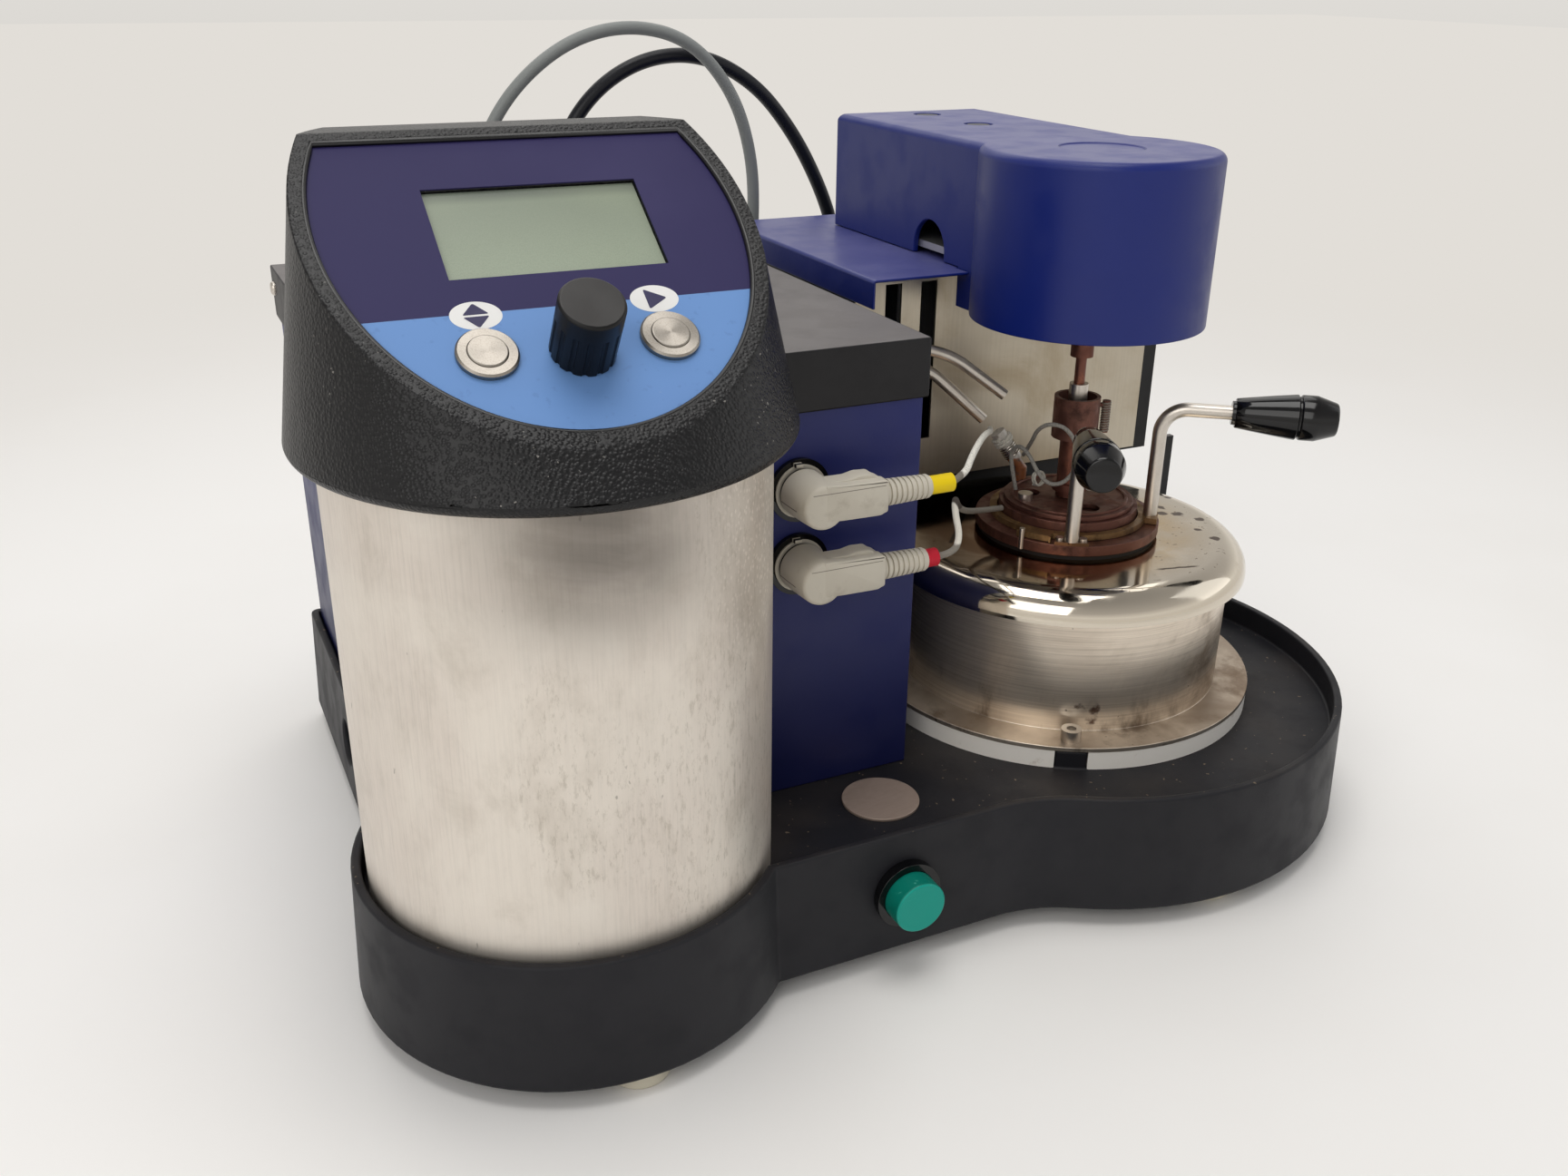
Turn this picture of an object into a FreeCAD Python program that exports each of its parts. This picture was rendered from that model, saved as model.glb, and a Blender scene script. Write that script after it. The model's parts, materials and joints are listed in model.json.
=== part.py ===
"""Closed-cup flash point tester, in millimetres.

A black tray carries a display column with a sloping control head, a sheet housing for the
electronics, a round stove with a lidded test cup, and a tower whose head drives the stirrer
and lifts clear of the cup. Places are measured from the column's axis and moved once, at the
end, so that the origin lies under the middle of the instrument. X runs to the right, Y to the
back and Z up.
"""
import FreeCAD, Part
import math
import os
from FreeCAD import Vector

os.makedirs("parts", exist_ok=True)

# Clearances and cuts that several pieces share
gap = 0.3
slide_gap = 0.075
running_gap = 0.06
overrun = 10.0
sheet = 1.5
thin_sheet = 1.2
arc_share = 0.45

# Tray, its plate, feet and screws
foot_r = 11.0
foot_height = 7.5
foot_recess_r = 6.0
foot_seat = 3.5
foot_edge = 1.2
tray_height = 48.8
tray_draft = 2.2
tray_wall = 3.5
tray_floor = 4.0
tray_recess = 11.3
tray_corner_r = 6.0
left_lobe_r = 80.0
left_side_x = -59.5
front_wall_y = -54.8
front_blend_r = 60.0
right_lobe_r = 122.0
right_side_x = 335.0
tray_back_y = 237.0
bottom_plate = 2.0
boss_r = 5.0
foot_screw_r = 1.6
foot_screw_head_r = 3.2
foot_screw_head = 2.2
foot_screw_reach = 12.0
foot_inset = 14.0
side_slot_y = 143.0
side_slot_z = 31.0
side_slot_length = 18.0
side_slot_height = 20.0
badge_r = 15.25
badge_thickness = 1.2
badge_x = 121.0
badge_y = -14.0

# Green push button on the tray's front wall
green_x = 110.0
green_z = 31.8
green_cap_r = 10.2
green_cap_out = 8.5
green_collar_r = 13.2
green_collar = 2.5
green_barrel_wall = 1.6
green_depth = 24.0
green_travel = 3.5
green_edge = 1.0

# Display column and the sloping head on it
column_r = 72.5
column_top = 220.0
column_tab = 10.0
head_bottom = 208.0
head_r = 80.8
head_edge_r = 4.0
head_wall = 3.0
head_top = 298.2
head_back_y = 49.0
head_back_slope = 70.0
head_edge_z = 222.9
rim_r = 70.5
face_z = 274.5
face_tilt = 35.26
face_plate = 4.5
recess_r = 66.0
recess_depth = 2.0
recess_chord = 37.5
overlay_thickness = 0.5
column_fit = 0.2

# Controls on the sloping face: u to the right, v up the slope
lcd_u = 2.9
lcd_v = -1.7
lcd_width = 67.7
lcd_height = 36.7
lcd_lap = 4.0
lcd_glass = 2.0
lcd_lens = 1.5
lcd_module_depth = 8.0
lcd_module_border = 9.0
button_u = 27.3
button_v = -49.2
bezel_r = 9.0
bezel_height = 2.0
bezel_edge = 0.6
button_shank_r = 8.0
button_depth = 20.0
button_cap_r = 5.85
button_cap_length = 9.0
button_cap_out = 0.5
button_travel = 1.8
button_bore_depth = 12.0
knob_v = -51.0
knob_r = 9.75
knob_height = 20.0
knob_edge = 1.0
knob_flutes = 14
flute_r = 1.1
flute_share = 0.68
encoder_size = 12.0
encoder_depth = 9.5
encoder_bush_r = 4.5
encoder_shaft_r = 3.0
encoder_shaft_depth = 6.0

# Housing for the electronics, with its lid
box_left = -53.0
box_right = 145.0
box_front = 8.8
box_back = 231.0
box_top = 221.2
lid_skirt = 21.0
lid_gap = 0.1
lid_screw_r = 1.5
lid_screw_head_r = 3.0
lid_screw_head = 1.8
lid_screw_dome = 1.4
lid_screw_reach = 6.0
lid_screw_inset = 7.0
lid_screw_drop = 8.7
supply_length = 120.0
supply_width = 70.0
supply_height = 42.0
supply_side_space = 20.0
supply_back_space = 40.0
board_length = 150.0
board_height = 110.0
board_thickness = 1.6
standoff_length = 8.0
standoff_r = 3.0
inlet_x = 105.0
inlet_z = 78.0
inlet_width = 28.0
inlet_height = 22.0
inlet_flange = 5.0
inlet_flange_thickness = 2.5
inlet_depth = 24.0
pin_width = 2.0
pin_height = 4.0
pin_pitch = 7.0

# Sockets in the housing's front and the plugs in them
socket_x = 94.0
socket_upper_z = 171.5
socket_lower_z = 142.5
socket_r = 9.0
socket_flange_r = 12.0
socket_flange = 2.0
socket_depth = 18.0
plug_barrel_r = 10.0
plug_barrel = 7.5
plug_body_length = 25.6
plug_body_top = 8.3
plug_body_bottom = 5.8
plug_body_depth = 13.0
plug_round_r = 9.2
plug_neck_r = 5.4
plug_neck = 2.6
plug_relief_r = 5.0
plug_relief_length = 19.5
plug_relief_rings = 9
relief_core_share = 0.8
relief_taper_share = 0.12
relief_ring_share = 0.62
plug_sleeve_r = 3.5
upper_sleeve_length = 10.0
lower_sleeve_length = 5.0

# Stove with its heater
stove_x = 246.4
stove_y = 49.2
lobe_offset_y = -8.8
pad_inset = 0.2
pad_width = 15.0
pad_height = 8.0
leg_width = 13.0
drum_r = 71.8
stove_flange_width = 14.6
stove_flange = 2.0
drum_top = 107.0
plate_overhang = 6.7
plate_roll = 12.5
plate_top = 118.0
plate_sheet = 1.6
flange_screw_angle = -120.0
flange_screw_offset = 7.2
flange_screw_r = 2.5
flange_screw_head_r = 4.2
flange_screw_head = 5.0
flange_screw_socket_r = 2.0
block_r = 38.5
block_top = 120.0
block_floor = 5.0
block_band_drop = 16.0
band_thickness = 2.5
band_height = 30.0

# Test cup
cup_bore_r = 25.4
cup_wall = 1.8
cup_depth = 56.0
cup_flange_r = 39.8
cup_flange = 4.5
lock_pin_r = 1.2
lock_pin_angle = -154.0
lock_pin_pitch_r = 39.4
lock_pin_top = 4.6

# Lid, shutter and stirrer in it
lid_r = 30.0
lid_wall_height = 6.5
lid_spigot = 3.0
lid_plate_r = 28.0
lid_plate = 2.0
ridge_r = 24.0
ridge_width = 1.4
ridge_height = 0.7
shutter_r = 24.6
shutter_thickness = 1.4
shutter_turn = 50.0
shutter_slot_margin = 8.0
port_r = 4.5
port_pitch_r = 17.0
port_angles = (-95.0, 25.0, 145.0)
spindle_r = 5.7
spindle_bore_r = 4.4
spindle_neck_r = 4.9
spindle_top = 163.0
nut_r = 7.5
nut_height = 3.5
sleeve_r = 9.8
sleeve_bore_r = 8.2
sleeve_bottom = 160.0
sleeve_top = 178.0
stirrer_r = 2.9
bush_r = 4.0
bush_bottom = 158.0
bush_seat = 6.0
bush_top = 183.5
paddle_low_z = 80.0
paddle_low_r = 16.0
paddle_high_z = 113.0
paddle_high_r = 10.0
paddle_width = 7.0
paddle_thickness = 1.4
paddle_pitch = 40.0
paddle_hub_r = 4.6
paddle_hub = 8.0
probe_angle = 172.0
probe_pitch_r = 21.0
probe_r = 1.6
probe_head_r = 3.2
probe_head = 3.0
probe_reach = 46.0
spring_r = 1.75
spring_length = 16.0
spring_offset = 12.6
spring_arm = 2.0
spring_angle = -25.67
ignitor_x = 238.3
ignitor_y = 74.7
ignitor_base_r = 2.6
ignitor_base = 6.0
ignitor_stub_r = 2.2
ignitor_body_r = 3.4
ignitor_tilt = 36.0
ignitor_heading = 154.3
ignitor_stub = 5.0
ignitor_body = 15.0

# Locking ring and the two handles
ring_in_r = 30.6
ring_out_r = 33.8
ring_height = 2.5
ring_tab_r = 39.0
ring_turn = 15.0
handle_r = 3.0
handle_top = 175.3
handle_bend_r = 11.0
crescent_height = 1.5
crescent_half = 10.3
front_foot_angle = -122.8
front_foot_r = 37.2
front_heading = -118.9
front_reach = 17.0
side_foot_angle = -38.6
side_foot_r = 35.6
side_heading = -37.8
side_reach = 28.0
grip_length = 42.0
grip_neck = 1.4
grip_neck_r = 5.0
grip_small_r = 6.2
grip_swell = 26.0
grip_large_r = 9.5
grip_groove_r = 9.0
grip_cap = 27.4
grip_end = 8.4
grip_end_r = 6.6
handle_screw_r = 1.0
handle_screw_head_r = 1.7
handle_screw_turn = 7.5
handle_screw_head = 1.2

# Tower with its shelf and guides
tower_left = 163.0
tower_right = 329.0
tower_front = 100.0
tower_back = 231.0
tower_top = 226.6
panel_left = 164.0
panel_right = 321.0
panel_bottom = 130.5
panel_slot_bottom = 150.0
panel_slot_top = 221.0
panel_slot_left_x = 182.5
panel_slot_left_width = 8.0
panel_slot_right_x = 200.0
panel_slot_right_width = 8.0
window_border = 6.0
shelf_front = 79.5
shelf_flange = 12.0
shelf_bend_r = 1.5
bracket_x = 337.0
bracket_width = 8.0
bracket_y = 98.0
bracket_thickness = 3.0
bracket_top = 133.0
bracket_foot = 12.0
post_r = 6.0
post_pitch = 26.0
post_y = 150.0
post_bottom = 80.0
post_lift = 60.0
guide_height = 66.0
guide_depth = 30.0
guide_margin = 9.0
guide_web = 12.0

# Lifting head: cover, carriage, motor and drive
cover_r = 48.5
cover_half_width = 38.8
cover_back = 203.0
cover_bottom = 211.5
cover_top = 280.0
cover_wall = 2.5
cover_edge_r = 3.5
cover_front_depth = 40.1
arch_front = 101.0
arch_back = 126.5
arch_top = 244.0
cover_recess_r = 17.0
cover_recess = 0.6
head_screw_near_y = 140.0
head_screw_far_y = 185.0
head_screw_r = 2.0
head_screw_head_r = 5.0
head_screw_recess_r = 6.5
head_screw_recess = 1.5
head_screw_reach = 18.0
pillar_r = 5.5
carriage_bottom = 230.5
carriage_thickness = 3.0
motor_r = 18.5
motor_height = 36.0
motor_boss_r = 6.5
motor_boss = 4.0
shaft_r = 2.3
shaft_bottom = 178.0
shaft_reach = 28.0
collar_r = 4.8
collar_bottom = 195.3
collar_top = 218.0

# Steel tubes from the tower to the lid
steel_tube_r = 2.5
steel_tube_bore_r = 1.9
upper_tube_route = ((182.0, 114.0, 194.5), (182.6, 95.5, 194.8), (204.0, 87.5, 192.0), (227.0, 75.5, 173.5))
lower_tube_route = ((182.0, 114.0, 187.5), (182.4, 96.5, 188.0), (197.0, 91.5, 184.5), (221.2, 82.3, 161.4))

# Cables and leads, each a route of points chosen by hand, and their glands
grey_cable_r = 3.0
grey_y = 248.0
grey_route = ((38.0, 192.0), (36.5, 222.0), (41.0, 254.0), (57.0, 286.0), (86.0, 310.0), (118.0, 318.5),
              (150.0, 312.0), (172.5, 288.0), (183.0, 258.0), (184.5, 225.0), (182.0, 192.0))
black_cable_r = 3.5
black_y = 260.0
black_route = ((74.0, 192.0), (75.0, 222.0), (83.0, 254.0), (100.0, 284.0), (128.0, 302.0), (160.0, 304.5),
               (190.0, 290.0), (212.0, 265.0), (228.0, 237.0), (237.0, 213.0), (238.0, 192.0))
gland_z = 176.0
gland_r = 6.0
gland_nut_r = 8.5
gland_nut = 4.0
lead_r = 1.3
upper_lead_route = ((149.7, -7.2, 171.5), (157.0, -4.5, 173.0), (165.0, 5.0, 174.4), (177.0, 19.0, 174.0),
                    (190.0, 35.0, 171.0), (203.0, 51.0, 166.5), (214.0, 65.0, 161.5), (221.0, 76.0, 158.5))
lower_lead_route = ((144.7, -7.2, 142.5), (151.7, -8.0, 142.9), (155.8, -5.2, 147.9), (156.2, -0.4, 155.0),
                    (162.5, 10.5, 157.6), (173.0, 24.0, 147.5), (184.0, 37.0, 139.5), (196.0, 49.0, 133.0),
                    (206.0, 55.0, 129.8), (216.0, 55.0, 129.4))
loop_r = 0.9
loop_route = ((235.6, 69.8, 146.5), (231.5, 59.0, 156.0), (227.5, 50.0, 165.0), (229.0, 43.5, 169.5),
              (234.5, 38.5, 168.0), (238.8, 36.2, 160.0), (239.2, 36.2, 150.5), (235.8, 38.4, 143.6),
              (230.0, 41.5, 142.2), (225.8, 45.2, 147.5), (224.4, 49.5, 154.0), (223.2, 56.0, 157.0),
              (222.8, 61.5, 152.5), (224.0, 61.5, 144.5), (226.0, 60.0, 134.8))


# Levels and centres that follow from the sizes above
tray_bottom = foot_height
rim_top = tray_bottom + tray_height
floor_top = rim_top - tray_recess
floor_under = floor_top - tray_floor
stove_flange_r = drum_r + stove_flange_width
pad_r = stove_flange_r - pad_inset
plate_lip_r = drum_r + plate_overhang
plate_flat_r = plate_lip_r - plate_roll
flange_screw_pitch_r = drum_r + flange_screw_offset
lobe_x = stove_x
lobe_y = stove_y + lobe_offset_y
lid_top = box_top + sheet
shelf_top = tower_top + thin_sheet
pad_top = floor_top + pad_height
flange_top = block_top + cup_flange
cup_inside_floor = flange_top - cup_depth
lid_wall_top = flange_top + lid_wall_height
lid_plate_top = lid_wall_top + lid_plate
carriage_top = carriage_bottom + carriage_thickness
origin_x = (lobe_x + right_lobe_r - head_r) / 2
origin_y = (lobe_y - right_lobe_r + tray_back_y) / 2
made = []


def polar(radius, degrees):
    """X and Y of a point on a circle."""
    angle = math.radians(degrees)
    return radius * math.cos(angle), radius * math.sin(angle)


def around(centre_x, centre_y, radius, degrees, z):
    """A point on a level circle about a centre."""
    x, y = polar(radius, degrees)
    return Vector(centre_x + x, centre_y + y, z)


def upright(radius, low, high, x=0.0, y=0.0):
    """An upright cylinder between two heights."""
    return Part.makeCylinder(radius, high - low, Vector(x, y, low))


def ring(outer, inner, low, high, x=0.0, y=0.0):
    """An upright tube between two heights."""
    return upright(outer, low, high, x, y).cut(upright(inner, low - overrun, high + overrun, x, y))


def rod(radius, start, end):
    """A round bar from one point to another."""
    return Part.makeCylinder(radius, start.distanceToPoint(end), start, end - start)


def block(x0, x1, y0, y1, z0, z1):
    """A box between two corners."""
    return Part.makeBox(x1 - x0, y1 - y0, z1 - z0, Vector(x0, y0, z0))


def joined(shapes):
    """Several overlapping or touching shapes as one solid."""
    return shapes[0].multiFuse(shapes[1:]).removeSplitter()


def group(shapes):
    """Separate solids kept in one node."""
    return Part.makeCompound(shapes)


def sector(outer, start, end, low, high, x, y):
    """A wedge of a disc between two angles."""
    wedge = Part.makeCylinder(outer, high - low, Vector(x, y, low), Vector(0, 0, 1), end - start)
    wedge.rotate(Vector(x, y, low), Vector(0, 0, 1), start)
    return wedge


def arc_edge(x, y, radius, start, end, z):
    """An arc between two angles, through the one halfway."""
    middle = (start + end) / 2
    points = [around(x, y, radius, degrees, z) for degrees in (start, middle, end)]
    return Part.Arc(*points).toShape()


def line_edge(start, end):
    """A straight edge."""
    return Part.LineSegment(start, end).toShape()


def bent_path(points):
    """Straight runs joined by tangent arcs, with the radii of the arcs."""
    edges = []
    radii = []
    last = points[0]
    for before, corner, after in zip(points, points[1:], points[2:]):
        back = before - corner
        ahead = after - corner
        shorter = min(back.Length, ahead.Length)
        back.normalize()
        ahead.normalize()
        turn = math.pi - back.getAngle(ahead)
        cut = arc_share * shorter
        radius = cut / math.tan(turn / 2)
        inward = (back + ahead).normalize()
        middle = corner + inward * (radius / math.cos(turn / 2) - radius)
        arc_start = corner + back * cut
        arc_end = corner + ahead * cut
        edges.append(line_edge(last, arc_start))
        edges.append(Part.Arc(arc_start, middle, arc_end).toShape())
        radii.append(radius)
        last = arc_end
    edges.append(line_edge(last, points[-1]))
    return Part.Wire(edges), radii


def swept(points, radius):
    """A round bar along a bent path."""
    path, radii = bent_path(points)
    section = Part.Wire(Part.Circle(points[0], points[1] - points[0], radius).toShape())
    return path.makePipeShell([section], True, False), path.Length, radii


def cord(name, points, radius):
    """A cable's tube, with its radii and volume printed for comparison."""
    shape, length, radii = swept(points, radius)
    share = shape.Volume / (math.pi * radius * radius * length)
    print(name, "length", round(length, 1), "volume share", round(share, 4),
          "radii in diameters", [round(r / (2 * radius), 1) for r in radii])
    return shape


def save(name, shape):
    """Move a finished piece to the common origin and write it."""
    placed = shape.copy()
    placed.translate(Vector(-origin_x, -origin_y, 0))
    placed.exportStep(os.path.join("parts", name + ".step"))
    box = placed.BoundBox
    made.append(name)
    print(name, "solids", len(placed.Solids), "valid", placed.isValid(), "volume", round(placed.Volume / 1000, 2),
          [round(v, 1) for v in (box.XMin, box.XMax, box.YMin, box.YMax, box.ZMin, box.ZMax)])


def tray_wire(inset, z):
    """The tray's plan outline, drawn in by an inset, at one height."""
    left_r = left_lobe_r - inset
    right_r = right_lobe_r - inset
    side = left_side_x + inset
    front = front_wall_y + inset
    right = right_side_x - inset
    back = tray_back_y - inset
    corner = max(tray_corner_r - inset, gap)
    blend_y = front_wall_y - front_blend_r
    blend_reach = right_lobe_r + front_blend_r
    blend_x = lobe_x - math.sqrt(blend_reach ** 2 - (lobe_y - blend_y) ** 2)
    toward_lobe = math.degrees(math.atan2(lobe_y - blend_y, lobe_x - blend_x))
    side_angle = math.degrees(math.acos(side / left_r))
    front_angle = 360 + math.degrees(math.asin(front / left_r))
    right_angle = math.degrees(math.acos((right - lobe_x) / right_r))
    arcs = [
        arc_edge(0, 0, left_r, side_angle, front_angle, z),
        arc_edge(blend_x, blend_y, front_blend_r + inset, 90, toward_lobe, z),
        arc_edge(lobe_x, lobe_y, right_r, toward_lobe - 180, right_angle, z),
        arc_edge(right - corner, back - corner, corner, 0, 90, z),
        arc_edge(side + corner, back - corner, corner, 90, 180, z),
    ]
    edges = []
    for edge, following in zip(arcs, arcs[1:] + arcs[:1]):
        edges.append(edge)
        start = edge.Vertexes[-1].Point
        end = following.Vertexes[0].Point
        if start.distanceToPoint(end) > running_gap:
            edges.append(line_edge(start, end))
    return Part.Wire(edges)


def draft_at(z):
    """How far the tray's side has drawn in at a height."""
    return tray_draft * (z - tray_bottom) / tray_height


def tray_prism(low, high, inset):
    """A block with the tray's drafted outline between two heights."""
    wires = [tray_wire(inset + draft_at(z), z) for z in (low, high)]
    return Part.makeLoft(wires, True, True)


def foot_places():
    """The four feet, in from the tray's outer edges."""
    return (
        (0.0, foot_inset - left_lobe_r),
        (lobe_x, lobe_y - right_lobe_r + foot_inset + tray_wall),
        (left_side_x + foot_inset + tray_wall, tray_back_y - foot_inset - tray_wall),
        (right_side_x - foot_inset - tray_wall, tray_back_y - foot_inset - tray_wall),
    )


def screw_places():
    """Where the stove's flange is screwed down: one place in front, one opposite."""
    return [around(stove_x, stove_y, flange_screw_pitch_r, flange_screw_angle + half, 0) for half in (0, 180)]


def green_bar(radius, start, end):
    """A round bar along the green button's axis, between two distances behind the wall."""
    return rod(radius, Vector(green_x, front_wall_y + start, green_z), Vector(green_x, front_wall_y + end, green_z))


def make_tray():
    """Tray, bottom plate, feet with their screws, and the bare badge disc."""
    outer = tray_prism(tray_bottom, rim_top, 0)
    tray = outer.cut(tray_prism(floor_top, rim_top + overrun, tray_wall))
    tray = tray.cut(tray_prism(tray_bottom - overrun, floor_under, tray_wall))
    plate_top_z = tray_bottom + bottom_plate
    bosses = [upright(boss_r, plate_top_z, floor_under, x, y) for x, y in foot_places()]
    tray = joined([tray] + bosses + stove_lugs(0))
    for x, y in foot_places():
        tray = tray.cut(upright(foot_screw_r, plate_top_z - overrun, plate_top_z + foot_screw_reach, x, y))
    half = side_slot_length / 2
    end_r = side_slot_height / 2
    slot_start = left_side_x - overrun
    slot_end = left_side_x + tray_wall + overrun
    for y in (side_slot_y - half + end_r, side_slot_y + half - end_r):
        tray = tray.cut(rod(end_r, Vector(slot_start, y, side_slot_z), Vector(slot_end, y, side_slot_z)))
    tray = tray.cut(green_bar(green_cap_r + green_barrel_wall + gap, -overrun, green_depth))
    for place in screw_places():
        tray = tray.cut(upright(flange_screw_r, floor_under - overrun, pad_top + overrun, place.x, place.y))
    save("base_tray", tray)

    plate = tray_prism(tray_bottom, plate_top_z, tray_wall + gap)
    feet = []
    screws = []
    for x, y in foot_places():
        plate = plate.cut(upright(foot_screw_r + slide_gap, 0, plate_top_z + overrun, x, y))
        foot = upright(foot_r, 0, foot_height, x, y)
        low_edge = min(foot.Edges, key=lambda edge: edge.BoundBox.ZMax)
        foot = foot.makeFillet(foot_edge, [low_edge])
        foot = foot.cut(upright(foot_recess_r, -overrun, foot_seat, x, y))
        feet.append(foot.cut(upright(foot_screw_r + slide_gap, 0, foot_height + overrun, x, y)))
        head = upright(foot_screw_head_r, foot_seat - foot_screw_head, foot_seat, x, y)
        shank = upright(foot_screw_r, foot_seat - foot_screw_head, plate_top_z + foot_screw_reach, x, y)
        screws.append(joined([head, shank]))
    save("base_plate", plate)
    save("feet", group(feet))
    badge = upright(badge_r, floor_top, floor_top + badge_thickness, badge_x, badge_y)
    save("badge_disc", badge)
    return outer, screws


def make_green_button(tray_outer):
    """Push button on the front wall: a collared body and a cap that travels in it."""
    face = -green_collar
    collar = green_bar(green_collar_r, face, tray_wall + tray_draft).cut(tray_outer)
    barrel = green_bar(green_cap_r + green_barrel_wall, face, green_depth)
    body = joined([collar, barrel]).cut(green_bar(green_cap_r + slide_gap, face - overrun, green_depth - sheet))
    save("green_button_body", body)
    cap = green_bar(green_cap_r, face - green_cap_out, green_depth - sheet - green_travel - gap)
    front_edge = min(cap.Edges, key=lambda edge: edge.BoundBox.YMax)
    save("green_button_cap", cap.makeFillet(green_edge, [front_edge]))


def to_face(shape):
    """Carry a shape from the face's own axes, with the third one outward, to its slope."""
    shape.rotate(Vector(0, 0, 0), Vector(1, 0, 0), face_tilt)
    shape.translate(Vector(0, 0, face_z))
    return shape


def face_ellipse(plan_r, low, high):
    """A block on the face whose outline is round in plan."""
    long_r = plan_r / math.cos(math.radians(face_tilt))
    edge = Part.Ellipse(Vector(0, 0, low), long_r, plan_r).toShape()
    edge.rotate(Vector(0, 0, low), Vector(0, 0, 1), 90)
    return Part.Face(Part.Wire(edge)).extrude(Vector(0, 0, high - low))


def face_bar(radius, u, v, low, high):
    """A round bar square to the face, in the face's own axes."""
    return Part.makeCylinder(radius, high - low, Vector(u, v, low))


def face_recess_block(plan_r, chord, low, high):
    """The printed panel's outline: round in plan, cut straight along its top."""
    big = 2 * head_r
    return face_ellipse(plan_r, low, high).common(block(-big, big, -big, chord, low, high))


def sloped_wire(plan_r, drop):
    """Four arcs that go once round the face, lowered by a drop."""
    long_r = plan_r / math.cos(math.radians(face_tilt))
    edges = []
    for quarter in range(4):
        ellipse = Part.Ellipse(Vector(0, 0, 0), long_r, plan_r)
        arc = Part.ArcOfEllipse(ellipse, quarter * math.pi / 2, (quarter + 1) * math.pi / 2).toShape()
        arc.rotate(Vector(0, 0, 0), Vector(0, 0, 1), 90)
        arc = to_face(arc)
        arc.translate(Vector(0, 0, -drop))
        edges.append(arc)
    return Part.Wire(edges)


def head_form(base_r, inset, low, drop):
    """The head's outer form, or its hollow when drawn in by an inset, on a round base."""
    base_edges = [arc_edge(0, 0, base_r, 90 + 90 * q, 180 + 90 * q, low) for q in range(4)]
    form = Part.makeLoft([Part.Wire(base_edges), sloped_wire(rim_r - inset, drop)], True, True)
    big = 2 * head_r
    top = head_top - inset
    form = form.cut(block(-big, big, -big, big, top, top + big))
    back = block(-big, big, 0, big, -big, big)
    back.rotate(Vector(0, 0, 0), Vector(1, 0, 0), 90 - head_back_slope)
    back.translate(Vector(0, head_back_y - inset, head_top))
    return form.cut(back)


def lid_space(low, high):
    """The room that the housing and its lid take beside the column."""
    reach = 3 * head_r
    return block(box_left - lid_gap - sheet - gap, reach, box_front - lid_gap - sheet - gap, reach, low, high)


def make_column():
    """Round sheet column with two tabs that lie on the housing."""
    shell = ring(column_r, column_r - thin_sheet, floor_top, column_top)
    reach = 3 * head_r
    shell = shell.cut(block(box_left, reach, box_front, reach, floor_top - overrun, column_top + overrun))
    inner = column_r - thin_sheet / 2
    end_x = math.sqrt(inner ** 2 - box_front ** 2)
    end_y = math.sqrt(inner ** 2 - box_left ** 2)
    low = floor_top + column_tab
    high = box_top - lid_skirt - column_tab
    front_tab = block(end_x - column_tab, end_x, box_front - thin_sheet, box_front, low, high)
    side_tab = block(box_left - thin_sheet, box_left, end_y - column_tab, end_y, low, high)
    shell = joined([shell, front_tab, side_tab])
    save("column_shell", shell.cut(lid_space(box_top - lid_skirt - gap, column_top + overrun)))


def make_head():
    """Control head: a hollow moulding with a sunk face."""
    band = upright(head_r, head_bottom, head_bottom + head_edge_r)
    low_edge = min(band.Edges, key=lambda edge: edge.BoundBox.ZMax)
    band = band.makeFillet(head_edge_r - running_gap, [low_edge])
    form = joined([band, head_form(head_r, 0, head_bottom + head_edge_r, 0)])
    plate_drop = face_plate / math.cos(math.radians(face_tilt))
    hollow = head_form(column_r - thin_sheet, head_wall, column_top, plate_drop)
    head = form.cut(hollow).cut(upright(column_r + column_fit, head_bottom - overrun, column_top + gap))
    head = head.cut(lid_space(head_bottom - overrun, lid_top))
    recess = face_recess_block(recess_r, recess_chord, -recess_depth, overrun)
    cuts = [recess]
    half_width = lcd_width / 2
    half_height = lcd_height / 2
    cuts.append(block(lcd_u - half_width, lcd_u + half_width, lcd_v - half_height, lcd_v + half_height,
                      -2 * face_plate, overrun))
    for side in (-1, 1):
        cuts.append(face_bar(button_shank_r + slide_gap, side * button_u, button_v, -2 * face_plate, overrun))
    cuts.append(face_bar(encoder_bush_r + slide_gap, 0, knob_v, -2 * face_plate, overrun))
    for piece in cuts:
        head = head.cut(to_face(piece))
    save("display_head", head)


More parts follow.
